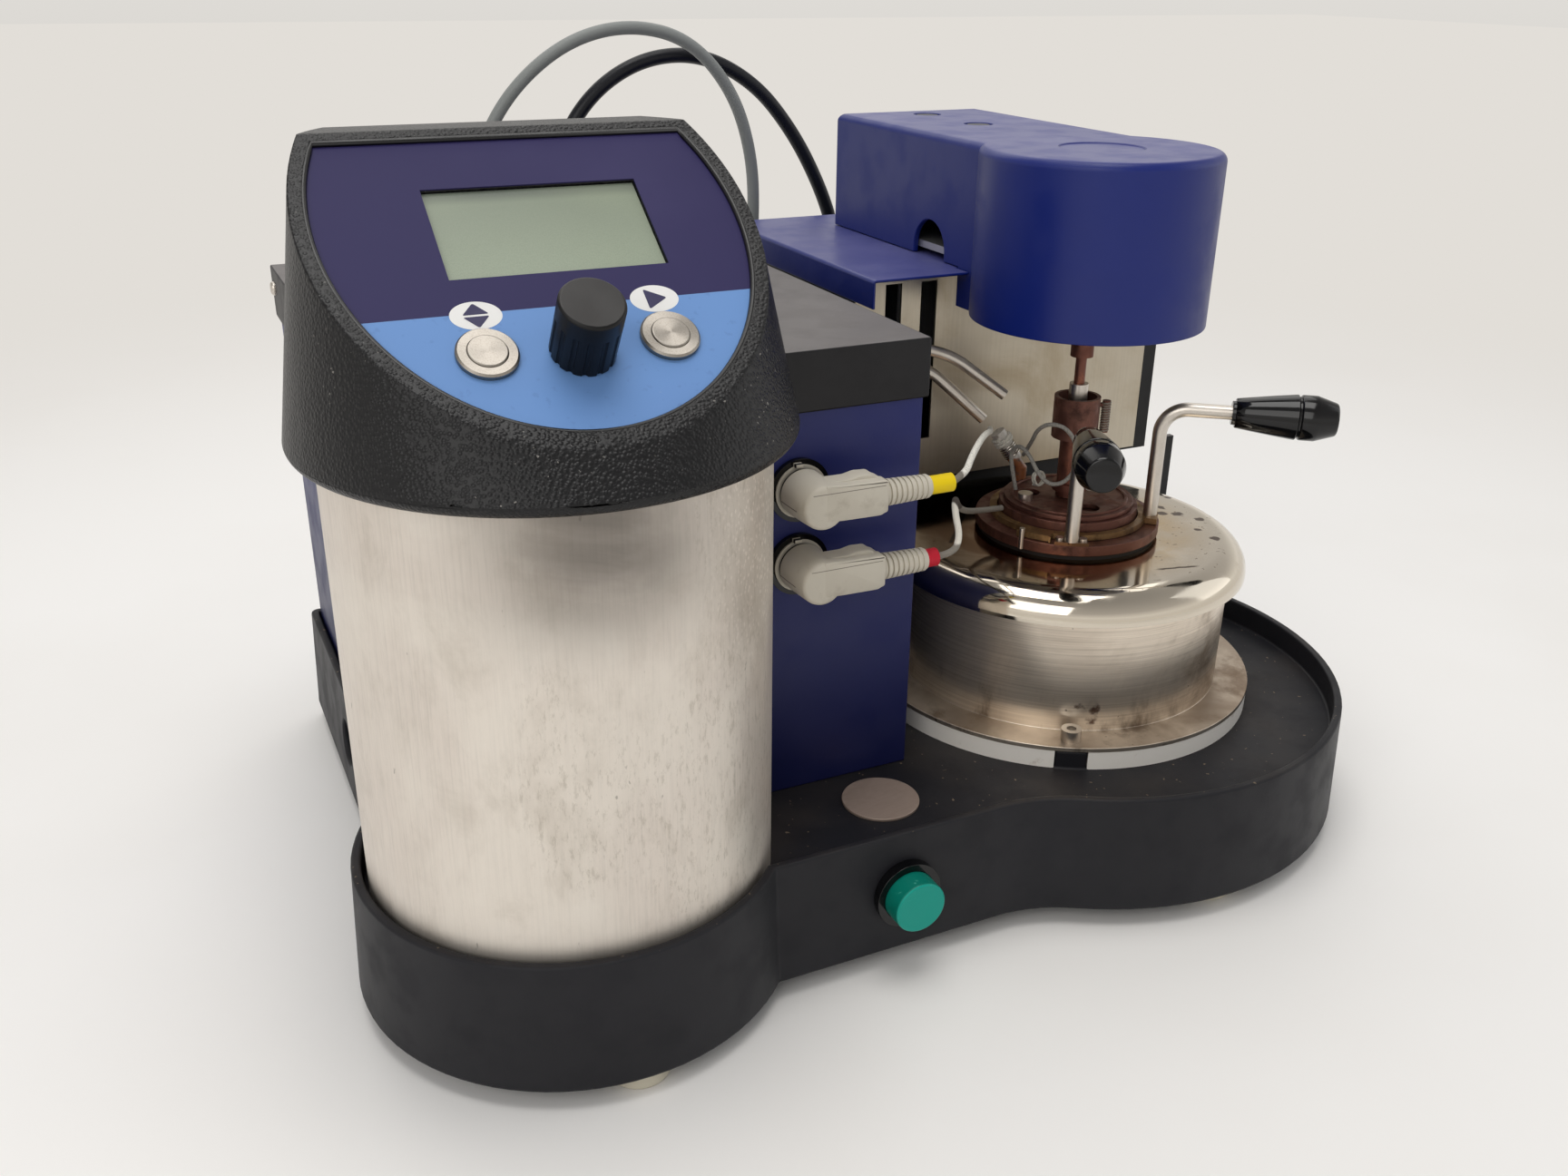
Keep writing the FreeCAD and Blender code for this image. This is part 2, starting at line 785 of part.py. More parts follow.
def make_face():
    """Printed overlay, display glass with its module, and the face's controls."""
    top = overlay_thickness - recess_depth
    overlay = face_recess_block(recess_r - gap, recess_chord - gap, -recess_depth, top)
    half_width = lcd_width / 2
    half_height = lcd_height / 2
    overlay = overlay.cut(block(lcd_u - half_width, lcd_u + half_width, lcd_v - half_height, lcd_v + half_height,
                                -overrun, overrun))
    for side in (-1, 1):
        overlay = overlay.cut(face_bar(button_shank_r + slide_gap, side * button_u, button_v, -overrun, overrun))
    overlay = overlay.cut(face_bar(encoder_bush_r + slide_gap, 0, knob_v, -overrun, overrun))
    save("display_overlay", to_face(overlay))

    def lcd_block(border, low, high):
        return block(lcd_u - half_width - border, lcd_u + half_width + border,
                     lcd_v - half_height - border, lcd_v + half_height + border, low, high)

    glass_back = -face_plate - lcd_glass
    lens = lcd_block(-gap, -face_plate, lcd_lens - face_plate)
    save("lcd_window", to_face(joined([lcd_block(lcd_lap, glass_back, -face_plate), lens])))
    save("lcd_module", to_face(lcd_block(lcd_module_border, glass_back - lcd_module_depth, glass_back)))

    bodies = []
    for side in (-1, 1):
        u = side * button_u
        bezel = face_bar(bezel_r, u, button_v, top, top + bezel_height)
        bezel = bezel.makeChamfer(bezel_edge, [max(bezel.Edges, key=lambda edge: edge.BoundBox.ZMin)])
        shank = face_bar(button_shank_r, u, button_v, top - button_depth, top)
        bore = face_bar(button_cap_r + slide_gap, u, button_v, top - button_bore_depth, overrun)
        bodies.append(to_face(joined([bezel, shank]).cut(bore)))
        cap_top = top + bezel_height + button_cap_out
        cap = face_bar(button_cap_r, u, button_v, cap_top - button_cap_length, cap_top)
        cap = cap.makeFillet(button_cap_out, [max(cap.Edges, key=lambda edge: edge.BoundBox.ZMin)])
        save("left_button_cap" if side < 0 else "right_button_cap", to_face(cap))
    half = encoder_size / 2
    inner = -face_plate
    encoder = block(-half, half, knob_v - half, knob_v + half, inner - encoder_depth, inner)
    encoder = joined([encoder, face_bar(encoder_bush_r, 0, knob_v, inner, top)])
    shaft_low = inner - encoder_shaft_depth
    encoder = encoder.cut(face_bar(encoder_shaft_r + running_gap, 0, knob_v, shaft_low, overrun))
    save("switch_bodies", group(bodies + [to_face(encoder)]))
    knob_low = top + gap
    shaft_high = knob_low + knob_height * flute_share
    shaft = face_bar(encoder_shaft_r, 0, knob_v, shaft_low + gap, shaft_high)
    knob = face_bar(knob_r, 0, knob_v, knob_low, knob_low + knob_height)
    knob = knob.makeFillet(knob_edge, [max(knob.Edges, key=lambda edge: edge.BoundBox.ZMin)])
    for index in range(knob_flutes):
        x, y = polar(knob_r + flute_r / 2, 360 * index / knob_flutes)
        knob = knob.cut(face_bar(flute_r, x, knob_v + y, knob_low - overrun, shaft_high))
    knob = knob.cut(face_bar(encoder_shaft_r, 0, knob_v, knob_low - overrun, shaft_high))
    save("control_knob", group([to_face(knob), to_face(shaft)]))


def open_box(x0, x1, y0, y1, z0, z1):
    """A sheet box with no top."""
    return block(x0, x1, y0, y1, z0, z1).cut(
        block(x0 + sheet, x1 - sheet, y0 + sheet, y1 - sheet, z0 + sheet, z1 + overrun))


def back_hole(shape, x, z, radius, y):
    """A round hole through a back wall."""
    return shape.cut(rod(radius, Vector(x, y - overrun, z), Vector(x, y + overrun, z)))


def lid_screw_places():
    """Screws through the lid's skirt: place on the skirt and the way each goes in."""
    y = box_back - lid_screw_inset
    z = lid_top - lid_screw_drop
    middle = (box_left + box_right) / 2
    skirt = lid_gap + sheet
    return (
        (Vector(box_left - skirt, y, z), Vector(1, 0, 0)),
        (Vector(box_right + skirt, y, z), Vector(-1, 0, 0)),
        (Vector(middle, box_back + skirt, z), Vector(0, -1, 0)),
    )


def make_housing():
    """Electronics housing, its lid and what they hold; the lid's screws are returned."""
    box = open_box(box_left, box_right, box_front, box_back, floor_top, box_top)
    for z in (socket_upper_z, socket_lower_z):
        box = back_hole(box, socket_x, z, socket_r + gap, box_front)
    for x in (grey_route[0][0], black_route[0][0]):
        box = back_hole(box, x, gland_z, gland_r + slide_gap, box_back)
    half_width = inlet_width / 2
    half_height = inlet_height / 2
    box = box.cut(block(inlet_x - half_width - gap, inlet_x + half_width + gap, box_back - overrun,
                        box_back + overrun, inlet_z - half_height - gap, inlet_z + half_height + gap))
    skirt = lid_gap + sheet
    lid = block(box_left - skirt, box_right + skirt, box_front - skirt, box_back + skirt,
                box_top - lid_skirt, lid_top)
    lid = lid.cut(block(box_left - lid_gap, box_right + lid_gap, box_front - lid_gap, box_back + lid_gap,
                        box_top - lid_skirt - overrun, box_top))
    screws = []
    for place, inward in lid_screw_places():
        head = rod(lid_screw_head_r, place - inward * lid_screw_head, place)
        outer_edge = [edge for edge in head.Edges if abs((edge.CenterOfMass - place).Length - lid_screw_head) < gap]
        head = head.makeFillet(lid_screw_dome, outer_edge[:1])
        shank = rod(lid_screw_r, place - inward * lid_screw_head / 2, place + inward * lid_screw_reach)
        hole = rod(lid_screw_r, place - inward * overrun, place + inward * lid_screw_reach)
        screws.append(joined([head, shank]))
        lid = lid.cut(hole)
        box = box.cut(hole)
    save("housing_box", box)
    save("housing_lid", lid)
    floor = floor_top + sheet
    supply_left = box_right - sheet - supply_width - supply_side_space
    supply_back = box_back - sheet - supply_back_space
    save("power_supply", block(supply_left, supply_left + supply_width, supply_back - supply_length, supply_back,
                               floor, floor + supply_height))
    wall = box_left + sheet
    board_y = (box_front + box_back - board_length) / 2
    board_z = floor + supply_height / 2
    board_x = wall + standoff_length
    board = block(board_x, board_x + board_thickness, board_y, board_y + board_length,
                  board_z, board_z + board_height)
    standoffs = []
    for y in (board_y + 2 * standoff_r, board_y + board_length - 2 * standoff_r):
        for z in (board_z + 2 * standoff_r, board_z + board_height - 2 * standoff_r):
            standoffs.append(rod(standoff_r, Vector(wall, y, z), Vector(board_x, y, z)))
    save("control_board", group([board] + standoffs))

    flange = block(inlet_x - half_width - inlet_flange, inlet_x + half_width + inlet_flange, box_back,
                   box_back + inlet_flange_thickness, inlet_z - half_height - inlet_flange,
                   inlet_z + half_height + inlet_flange)
    inside = block(inlet_x - half_width, inlet_x + half_width, box_back - inlet_depth, box_back,
                   inlet_z - half_height, inlet_z + half_height)
    mouth = block(inlet_x - half_width + 2 * sheet, inlet_x + half_width - 2 * sheet,
                  box_back - inlet_depth + 2 * sheet, box_back + overrun,
                  inlet_z - half_height + 2 * sheet, inlet_z + half_height - 2 * sheet)
    pins = []
    for column in (-1, 0, 1):
        x = inlet_x + column * pin_pitch
        z = inlet_z + (pin_height / 2 if column == 0 else -pin_height / 2)
        pins.append(block(x - pin_width / 2, x + pin_width / 2, box_back - inlet_depth + sheet, box_back,
                          z - pin_height / 2, z + pin_height / 2))
    save("mains_inlet", joined([flange, inside]).cut(mouth).fuse(group(pins)))
    return screws


def plug_pieces(socket_z, sleeve_length):
    """An elbow plug in its socket, with a ribbed relief and a coloured sleeve."""
    face = box_front - socket_flange
    barrel_end = face - plug_barrel
    middle_y = barrel_end - plug_body_depth / 2
    barrel = rod(plug_barrel_r, Vector(socket_x, barrel_end, socket_z), Vector(socket_x, face, socket_z))
    heel = rod(plug_round_r, Vector(socket_x, barrel_end - plug_body_depth, socket_z),
               Vector(socket_x, barrel_end, socket_z))
    end_x = socket_x + plug_body_length
    outline = Part.makePolygon([
        Vector(socket_x, barrel_end, socket_z + plug_body_top),
        Vector(end_x - plug_neck, barrel_end, socket_z + plug_body_top),
        Vector(end_x, barrel_end, socket_z + plug_neck_r),
        Vector(end_x, barrel_end, socket_z - plug_neck_r),
        Vector(end_x - plug_neck, barrel_end, socket_z - plug_body_bottom),
        Vector(socket_x, barrel_end, socket_z - plug_body_bottom),
        Vector(socket_x, barrel_end, socket_z + plug_body_top),
    ])
    arm = Part.Face(outline).extrude(Vector(0, -plug_body_depth, 0))
    arm = arm.makeFillet(sheet, [edge for edge in arm.Edges if edge.BoundBox.YLength < gap
                                 and edge.BoundBox.XMax > socket_x + plug_round_r
                                 and edge.BoundBox.XLength > plug_round_r / 2
                                 and edge.BoundBox.XMin > socket_x - gap
                                 and edge.BoundBox.YMax < barrel_end - gap])
    plug = joined([barrel, heel, arm])
    start = Vector(end_x, middle_y, socket_z)
    pitch = plug_relief_length / plug_relief_rings
    ribs = [rod(plug_relief_r * relief_core_share, start, start + Vector(plug_relief_length, 0, 0))]
    for index in range(plug_relief_rings):
        radius = plug_relief_r * (1 - relief_taper_share * index / plug_relief_rings)
        low = start + Vector(index * pitch, 0, 0)
        ribs.append(rod(radius, low, low + Vector(pitch * relief_ring_share, 0, 0)))
    relief_end = start + Vector(plug_relief_length, 0, 0)
    lead_start = relief_end + Vector(sleeve_length, 0, 0)
    print("lead starts at", [round(v, 2) for v in lead_start])
    return plug, joined(ribs), rod(plug_sleeve_r, relief_end, lead_start)


def make_sockets():
    """Two round sockets in the housing's front, with their plugs, reliefs and sleeves."""
    sockets = []
    for z in (socket_upper_z, socket_lower_z):
        face = box_front - socket_flange
        flange = rod(socket_flange_r, Vector(socket_x, face, z), Vector(socket_x, box_front, z))
        inside = rod(socket_r, Vector(socket_x, face, z), Vector(socket_x, box_front + socket_depth, z))
        sockets.append(joined([flange, inside]))
    save("panel_sockets", group(sockets))
    upper = plug_pieces(socket_upper_z, upper_sleeve_length)
    lower = plug_pieces(socket_lower_z, lower_sleeve_length)
    for name, pair in zip(("elbow_plugs", "plug_reliefs", "lead_sleeves"), zip(upper, lower)):
        save(name, group(pair))


def stove_lugs(side_gap):
    """The tray's two raised lugs under the stove's flange screws."""
    lugs = []
    half = leg_width / 2 + side_gap
    for turn in (flange_screw_angle, flange_screw_angle + 180):
        lug = block(pad_r - 2 * pad_width, pad_r + pad_width, -half, half, floor_top, pad_top)
        lug.rotate(Vector(0, 0, 0), Vector(0, 0, 1), turn)
        lug.translate(Vector(stove_x, stove_y, 0))
        lugs.append(lug.common(ring(pad_r, pad_r - pad_width, floor_top, pad_top, stove_x, stove_y)))
    return lugs


def make_stove():
    """Pad, drum, polished top plate, heater block and band; the flange screws are returned."""
    pad = ring(pad_r, pad_r - pad_width, floor_top, pad_top, stove_x, stove_y)
    save("insulating_ring", pad.cut(group(stove_lugs(gap))))
    holes = [upright(flange_screw_r, floor_top - overrun, pad_top + overrun, p.x, p.y) for p in screw_places()]

    drum = joined([
        ring(stove_flange_r, drum_r - thin_sheet, pad_top, pad_top + stove_flange, stove_x, stove_y),
        ring(drum_r, drum_r - thin_sheet, pad_top, drum_top, stove_x, stove_y),
    ])
    for hole in holes:
        drum = drum.cut(hole)
    save("stove_drum", drum)
    screws = []
    for place in screw_places():
        low = pad_top + stove_flange
        head = upright(flange_screw_head_r, low, low + flange_screw_head, place.x, place.y)
        socket = upright(flange_screw_socket_r, low + flange_screw_head / 2, low + overrun, place.x, place.y)
        shank = upright(flange_screw_r, floor_under, low, place.x, place.y)
        screws.append(joined([head, shank]).cut(socket))
    save("top_plate", top_plate_form())
    seat = drum_top - stove_flange
    inside = drum_r - thin_sheet
    block_bottom = pad_top + stove_flange
    spider = ring(inside - gap, block_r - pad_width, block_bottom - stove_flange, block_bottom, stove_x, stove_y)
    heater = joined([upright(block_r, block_bottom - stove_flange, block_top, stove_x, stove_y), spider])
    cup_r = cup_bore_r + cup_wall + gap
    cup_under = cup_inside_floor - cup_wall
    heater = heater.cut(upright(cup_r, cup_under, block_top + overrun, stove_x, stove_y))
    band_top = seat - block_band_drop
    band_low = band_top - band_height
    band = ring(block_r + band_thickness, block_r, band_low, band_top, stove_x, stove_y)
    save("heater_block", group([heater, band]))
    return screws


def top_plate_form():
    """The spun top plate: flat, rolled down at its rim and turned in under the drum's edge."""
    hole_r = block_r + gap
    under = drum_top - plate_sheet
    inner_low = drum_top + plate_sheet
    slope = math.sqrt(0.5)

    def roll(lip_r, top, low):
        middle = Vector(plate_flat_r + (lip_r - plate_flat_r) * slope, low + (top - low) * slope, 0)
        return Vector(plate_flat_r, top, 0), middle, Vector(lip_r, low, 0)

    outer = roll(plate_lip_r, plate_top, drum_top)
    inner = roll(plate_lip_r - plate_sheet, plate_top - plate_sheet, inner_low)
    corners = [
        outer[2], Vector(plate_lip_r, under, 0), Vector(drum_r + gap, under, 0), Vector(drum_r + gap, drum_top, 0),
        Vector(drum_r - plate_sheet, drum_top, 0), Vector(drum_r - plate_sheet, inner_low, 0), inner[2],
    ]
    edges = [line_edge(Vector(hole_r, plate_top, 0), outer[0]), Part.Arc(*outer).toShape()]
    edges += [line_edge(start, end) for start, end in zip(corners, corners[1:])]
    edges.append(Part.Arc(*reversed(inner)).toShape())
    edges.append(line_edge(inner[0], Vector(hole_r, plate_top - plate_sheet, 0)))
    edges.append(line_edge(Vector(hole_r, plate_top - plate_sheet, 0), Vector(hole_r, plate_top, 0)))
    face = Part.Face(Part.Wire(edges))
    face.rotate(Vector(0, 0, 0), Vector(1, 0, 0), 90)
    plate = face.revolve(Vector(0, 0, 0), Vector(0, 0, 1), 360)
    plate.translate(Vector(stove_x, stove_y, 0))
    return plate


def make_cup():
    """Test cup with its flange; the pin that stops the locking ring is returned."""
    outer_r = cup_bore_r + cup_wall
    cup = joined([
        upright(outer_r, cup_inside_floor - cup_wall, flange_top, stove_x, stove_y),
        upright(cup_flange_r, block_top, flange_top, stove_x, stove_y),
    ])
    cup = cup.cut(upright(cup_bore_r, cup_inside_floor, flange_top + overrun, stove_x, stove_y))
    pin_place = around(stove_x, stove_y, lock_pin_pitch_r, lock_pin_angle, 0)
    cup = cup.cut(upright(lock_pin_r, block_top - overrun, flange_top + overrun, pin_place.x, pin_place.y))
    for place in crescent_screw_places():
        cup = cup.cut(upright(handle_screw_r, block_top - overrun, flange_top + overrun, place.x, place.y))
    save("test_cup", cup)
    return upright(lock_pin_r, block_top, flange_top + lock_pin_top, pin_place.x, pin_place.y)


def crescent_screw_places():
    """The two screws beside the front handle's foot."""
    pitch = (ring_out_r + gap + cup_flange_r) / 2
    return [around(stove_x, stove_y, pitch, front_foot_angle + turn, 0)
            for turn in (-handle_screw_turn, handle_screw_turn)]


def bent_handle(foot_x, foot_y, foot_z, heading, reach):
    """A round bar that rises from a foot and bends outward to a grip."""
    out_x, out_y = polar(1, heading)
    outward = Vector(out_x, out_y, 0)
    foot = Vector(foot_x, foot_y, foot_z)
    corner = Vector(foot_x, foot_y, handle_top)
    bend_start = corner - Vector(0, 0, handle_bend_r)
    bend_end = corner + outward * handle_bend_r
    slope = math.sqrt(0.5)
    middle = bend_start + outward * handle_bend_r * (1 - slope) + Vector(0, 0, handle_bend_r * slope)
    end = corner + outward * (reach + grip_length / 2)
    path = Part.Wire([
        line_edge(foot, bend_start),
        Part.Arc(bend_start, middle, bend_end).toShape(),
        line_edge(bend_end, end),
    ])
    section = Part.Wire(Part.Circle(foot, Vector(0, 0, 1), handle_r).toShape())
    return path.makePipeShell([section], True, False), corner, outward, end


def grip_shape(corner, outward, reach, end):
    """A turned grip that swells outward to a groove and a cap with a chamfered end."""
    start = corner + outward * reach
    pieces = []
    stations = ((0, grip_neck_r), (grip_neck, grip_neck_r), (grip_neck, grip_small_r), (grip_swell, grip_large_r),
                (grip_swell, grip_groove_r), (grip_cap, grip_groove_r), (grip_cap, grip_large_r),
                (grip_length - grip_end, grip_large_r), (grip_length, grip_end_r))
    for (near, near_r), (far, far_r) in zip(stations, stations[1:]):
        if far > near:
            form = rod(near_r, start + outward * near, start + outward * far) if near_r == far_r else \
                Part.makeCone(near_r, far_r, far - near, start + outward * near, outward)
            pieces.append(form)
    return joined(pieces).cut(rod(handle_r, start - outward * overrun, end))


def make_handles():
    """Locking ring with the side handle, and the front handle on the cup; its screws are returned."""
    low = flange_top + gap
    high = low + ring_height
    band = ring(ring_out_r, ring_in_r, low, high, stove_x, stove_y)

    def tab(start, end):
        wedge = sector(ring_tab_r, start, end, low, high, stove_x, stove_y)
        return wedge.cut(upright((ring_in_r + ring_out_r) / 2, low - overrun, high + overrun, stove_x, stove_y))

    pin_half = math.degrees((lock_pin_r + gap) / lock_pin_pitch_r)
    slot_start = lock_pin_angle - pin_half
    slot_end = lock_pin_angle + ring_turn + pin_half
    side_half = math.degrees(2 * handle_r / ring_tab_r)
    locking = joined([band, tab(slot_start - pin_half, slot_end + pin_half / 2),
                      tab(side_foot_angle - side_half, side_foot_angle + side_half)])
    inner = lock_pin_pitch_r - lock_pin_r - gap
    outer = lock_pin_pitch_r + lock_pin_r + gap
    slot = sector(outer, slot_start, slot_end, low - overrun, high + overrun, stove_x, stove_y)
    slot = slot.cut(upright(inner, low - 2 * overrun, high + 2 * overrun, stove_x, stove_y))
    save("locking_ring", locking.cut(slot))

    foot = around(stove_x, stove_y, side_foot_r, side_foot_angle, 0)
    bar, corner, outward, end = bent_handle(foot.x, foot.y, high, side_heading, side_reach)
    save("side_handle", bar)
    save("side_grip", grip_shape(corner, outward, side_reach, end))

    foot = around(stove_x, stove_y, front_foot_r, front_foot_angle, 0)
    bar, corner, outward, end = bent_handle(foot.x, foot.y, flange_top + crescent_height / 2, front_heading,
                                            front_reach)
    crescent = sector(cup_flange_r, front_foot_angle - crescent_half, front_foot_angle + crescent_half, flange_top,
                      flange_top + crescent_height, stove_x, stove_y)
    crescent = crescent.cut(upright(ring_out_r + gap, 0, cover_top, stove_x, stove_y))
    screws = []
    for place in crescent_screw_places():
        seat = flange_top + crescent_height
        crescent = crescent.cut(upright(handle_screw_r, 0, cover_top, place.x, place.y))
        head = upright(handle_screw_head_r, seat, seat + handle_screw_head, place.x, place.y)
        screws.append(joined([head, upright(handle_screw_r, block_top, seat, place.x, place.y)]))
    save("front_handle", joined([crescent, bar]))
    save("front_grip", grip_shape(corner, outward, front_reach, end))
    return screws


def port_places():
    """The lid's three ports."""
    return [around(stove_x, stove_y, port_pitch_r, degrees, 0) for degrees in port_angles]


def make_lid():
    """Cup lid, its cover plate, shutter, spindle and the parts that stand on it."""
    centre_r = stirrer_r + running_gap
    body = joined([
        upright(lid_r, flange_top, lid_wall_top, stove_x, stove_y),
        upright(cup_bore_r - gap, flange_top - lid_spigot, flange_top, stove_x, stove_y),
    ])
    room = shutter_thickness + 2 * gap
    body = body.cut(upright(shutter_r + gap, lid_wall_top - room, lid_wall_top + overrun, stove_x, stove_y))
    body = body.cut(upright(centre_r, 0, lid_wall_top + overrun, stove_x, stove_y))
    plate = upright(lid_plate_r, lid_wall_top, lid_plate_top, stove_x, stove_y)
    ridge = ring(ridge_r + ridge_width, ridge_r, lid_plate_top, lid_plate_top + ridge_height, stove_x, stove_y)
    ridge = ridge.cut(upright(ignitor_base_r, 0, cover_top, ignitor_x, ignitor_y))
    plate = joined([plate, ridge])
    plate = plate.cut(upright(spindle_neck_r + running_gap, 0, cover_top, stove_x, stove_y))
    shutter = upright(shutter_r, lid_wall_top - room + gap, lid_wall_top - gap, stove_x, stove_y)
    shutter = shutter.cut(upright(spindle_bore_r, 0, cover_top, stove_x, stove_y))
    for place in port_places():
        body = body.cut(upright(port_r, 0, cover_top, place.x, place.y))
        plate = plate.cut(upright(port_r, 0, cover_top, place.x, place.y))
    for degrees in port_angles:
        open_place = around(stove_x, stove_y, port_pitch_r, degrees - shutter_turn, 0)
        shutter = shutter.cut(upright(port_r, 0, cover_top, open_place.x, open_place.y))
    probe_place = around(stove_x, stove_y, probe_pitch_r, probe_angle, 0)
    probe_head_low = lid_plate_top
    for_probe = upright(probe_r, 0, cover_top, probe_place.x, probe_place.y)
    track = ring(probe_pitch_r + 2 * probe_r, probe_pitch_r - 2 * probe_r, 0, cover_top, stove_x, stove_y)
    swing = sector(shutter_r + overrun, probe_angle - shutter_turn - shutter_slot_margin,
                   probe_angle + shutter_slot_margin, 0, cover_top, stove_x, stove_y)
    shutter = shutter.cut(track.common(swing))
    save("cup_lid", body.cut(for_probe))
    save("lid_cover_plate", plate.cut(for_probe))
    save("shutter_plate", shutter)
    probe = joined([
        upright(probe_r, flange_top - probe_reach, probe_head_low, probe_place.x, probe_place.y),
        upright(probe_head_r, probe_head_low, probe_head_low + probe_head, probe_place.x, probe_place.y),
    ])
    save("temperature_probe", probe)

    spindle = joined([
        upright(spindle_neck_r, lid_wall_top - gap, lid_plate_top + gap, stove_x, stove_y),
        upright(spindle_r, lid_plate_top + gap, spindle_top, stove_x, stove_y),
    ])
    spindle = spindle.cut(upright(spindle_bore_r, 0, cover_top, stove_x, stove_y))
    nut_low = lid_plate_top + 2 * sheet
    nut = ring(nut_r, spindle_r, nut_low, nut_low + nut_height, stove_x, stove_y)
    save("shutter_spindle", group([spindle, nut]))
    sleeve = ring(sleeve_r, spindle_r, sleeve_bottom, sleeve_top, stove_x, stove_y)
    sleeve = sleeve.cut(upright(sleeve_bore_r, spindle_top, sleeve_top + overrun, stove_x, stove_y))
    spring_place = around(stove_x, stove_y, spring_offset, spring_angle, 0)
    arm_low = sleeve_top - 2 * spring_arm
    spring = upright(spring_r, sleeve_top - spring_length, arm_low + spring_arm, spring_place.x, spring_place.y)
    arm_start = around(stove_x, stove_y, sleeve_r, spring_angle, arm_low)
    arm_end = around(stove_x, stove_y, spring_offset, spring_angle, arm_low)
    hook = rod(spring_arm / 2, arm_start, arm_end)
    spring = joined([spring, hook]).cut(upright(sleeve_r, 0, cover_top, stove_x, stove_y))
    save("shutter_sleeve", group([sleeve, spring]))

    base_low = lid_plate_top
    base_top = base_low + ignitor_base
    foot = upright(ignitor_base_r, base_low, base_top, ignitor_x, ignitor_y)
    lean_x, lean_y = polar(math.sin(math.radians(ignitor_tilt)), ignitor_heading)
    lean = Vector(lean_x, lean_y, math.cos(math.radians(ignitor_tilt)))
    elbow = Vector(ignitor_x, ignitor_y, base_top)
    stub = rod(ignitor_stub_r, elbow - lean * ignitor_stub_r / 2, elbow + lean * ignitor_stub)
    body_start = elbow + lean * ignitor_stub
    save("ignitor", group([joined([foot, stub]), rod(ignitor_body_r, body_start, body_start + lean * ignitor_body)]))


def make_stirrer():
    """Stirrer with two paddles, and the bush that the drive shaft slides in."""
    pieces = [upright(stirrer_r, paddle_low_z - paddle_hub / 2, bush_bottom, stove_x, stove_y)]
    for z, reach, turn in ((paddle_low_z, paddle_low_r, 0), (paddle_high_z, paddle_high_r, 90)):
        pieces.append(upright(paddle_hub_r, z - paddle_hub / 2, z + paddle_hub / 2, stove_x, stove_y))
        for side in (-1, 1):
            blade = block(0, reach, -paddle_width / 2, paddle_width / 2, -paddle_thickness / 2, paddle_thickness / 2)
            blade.rotate(Vector(0, 0, 0), Vector(1, 0, 0), paddle_pitch)
            blade.rotate(Vector(0, 0, 0), Vector(0, 0, 1), turn + 90 * (side + 1))
            blade.translate(Vector(stove_x, stove_y, z))
            pieces.append(blade)
    stirrer = joined(pieces)
    bush = upright(bush_r, bush_bottom, bush_top, stove_x, stove_y)
    bush = bush.cut(upright(shaft_r + running_gap, bush_bottom + bush_seat, bush_top + overrun, stove_x, stove_y))
    save("stirrer", group([stirrer, bush]))


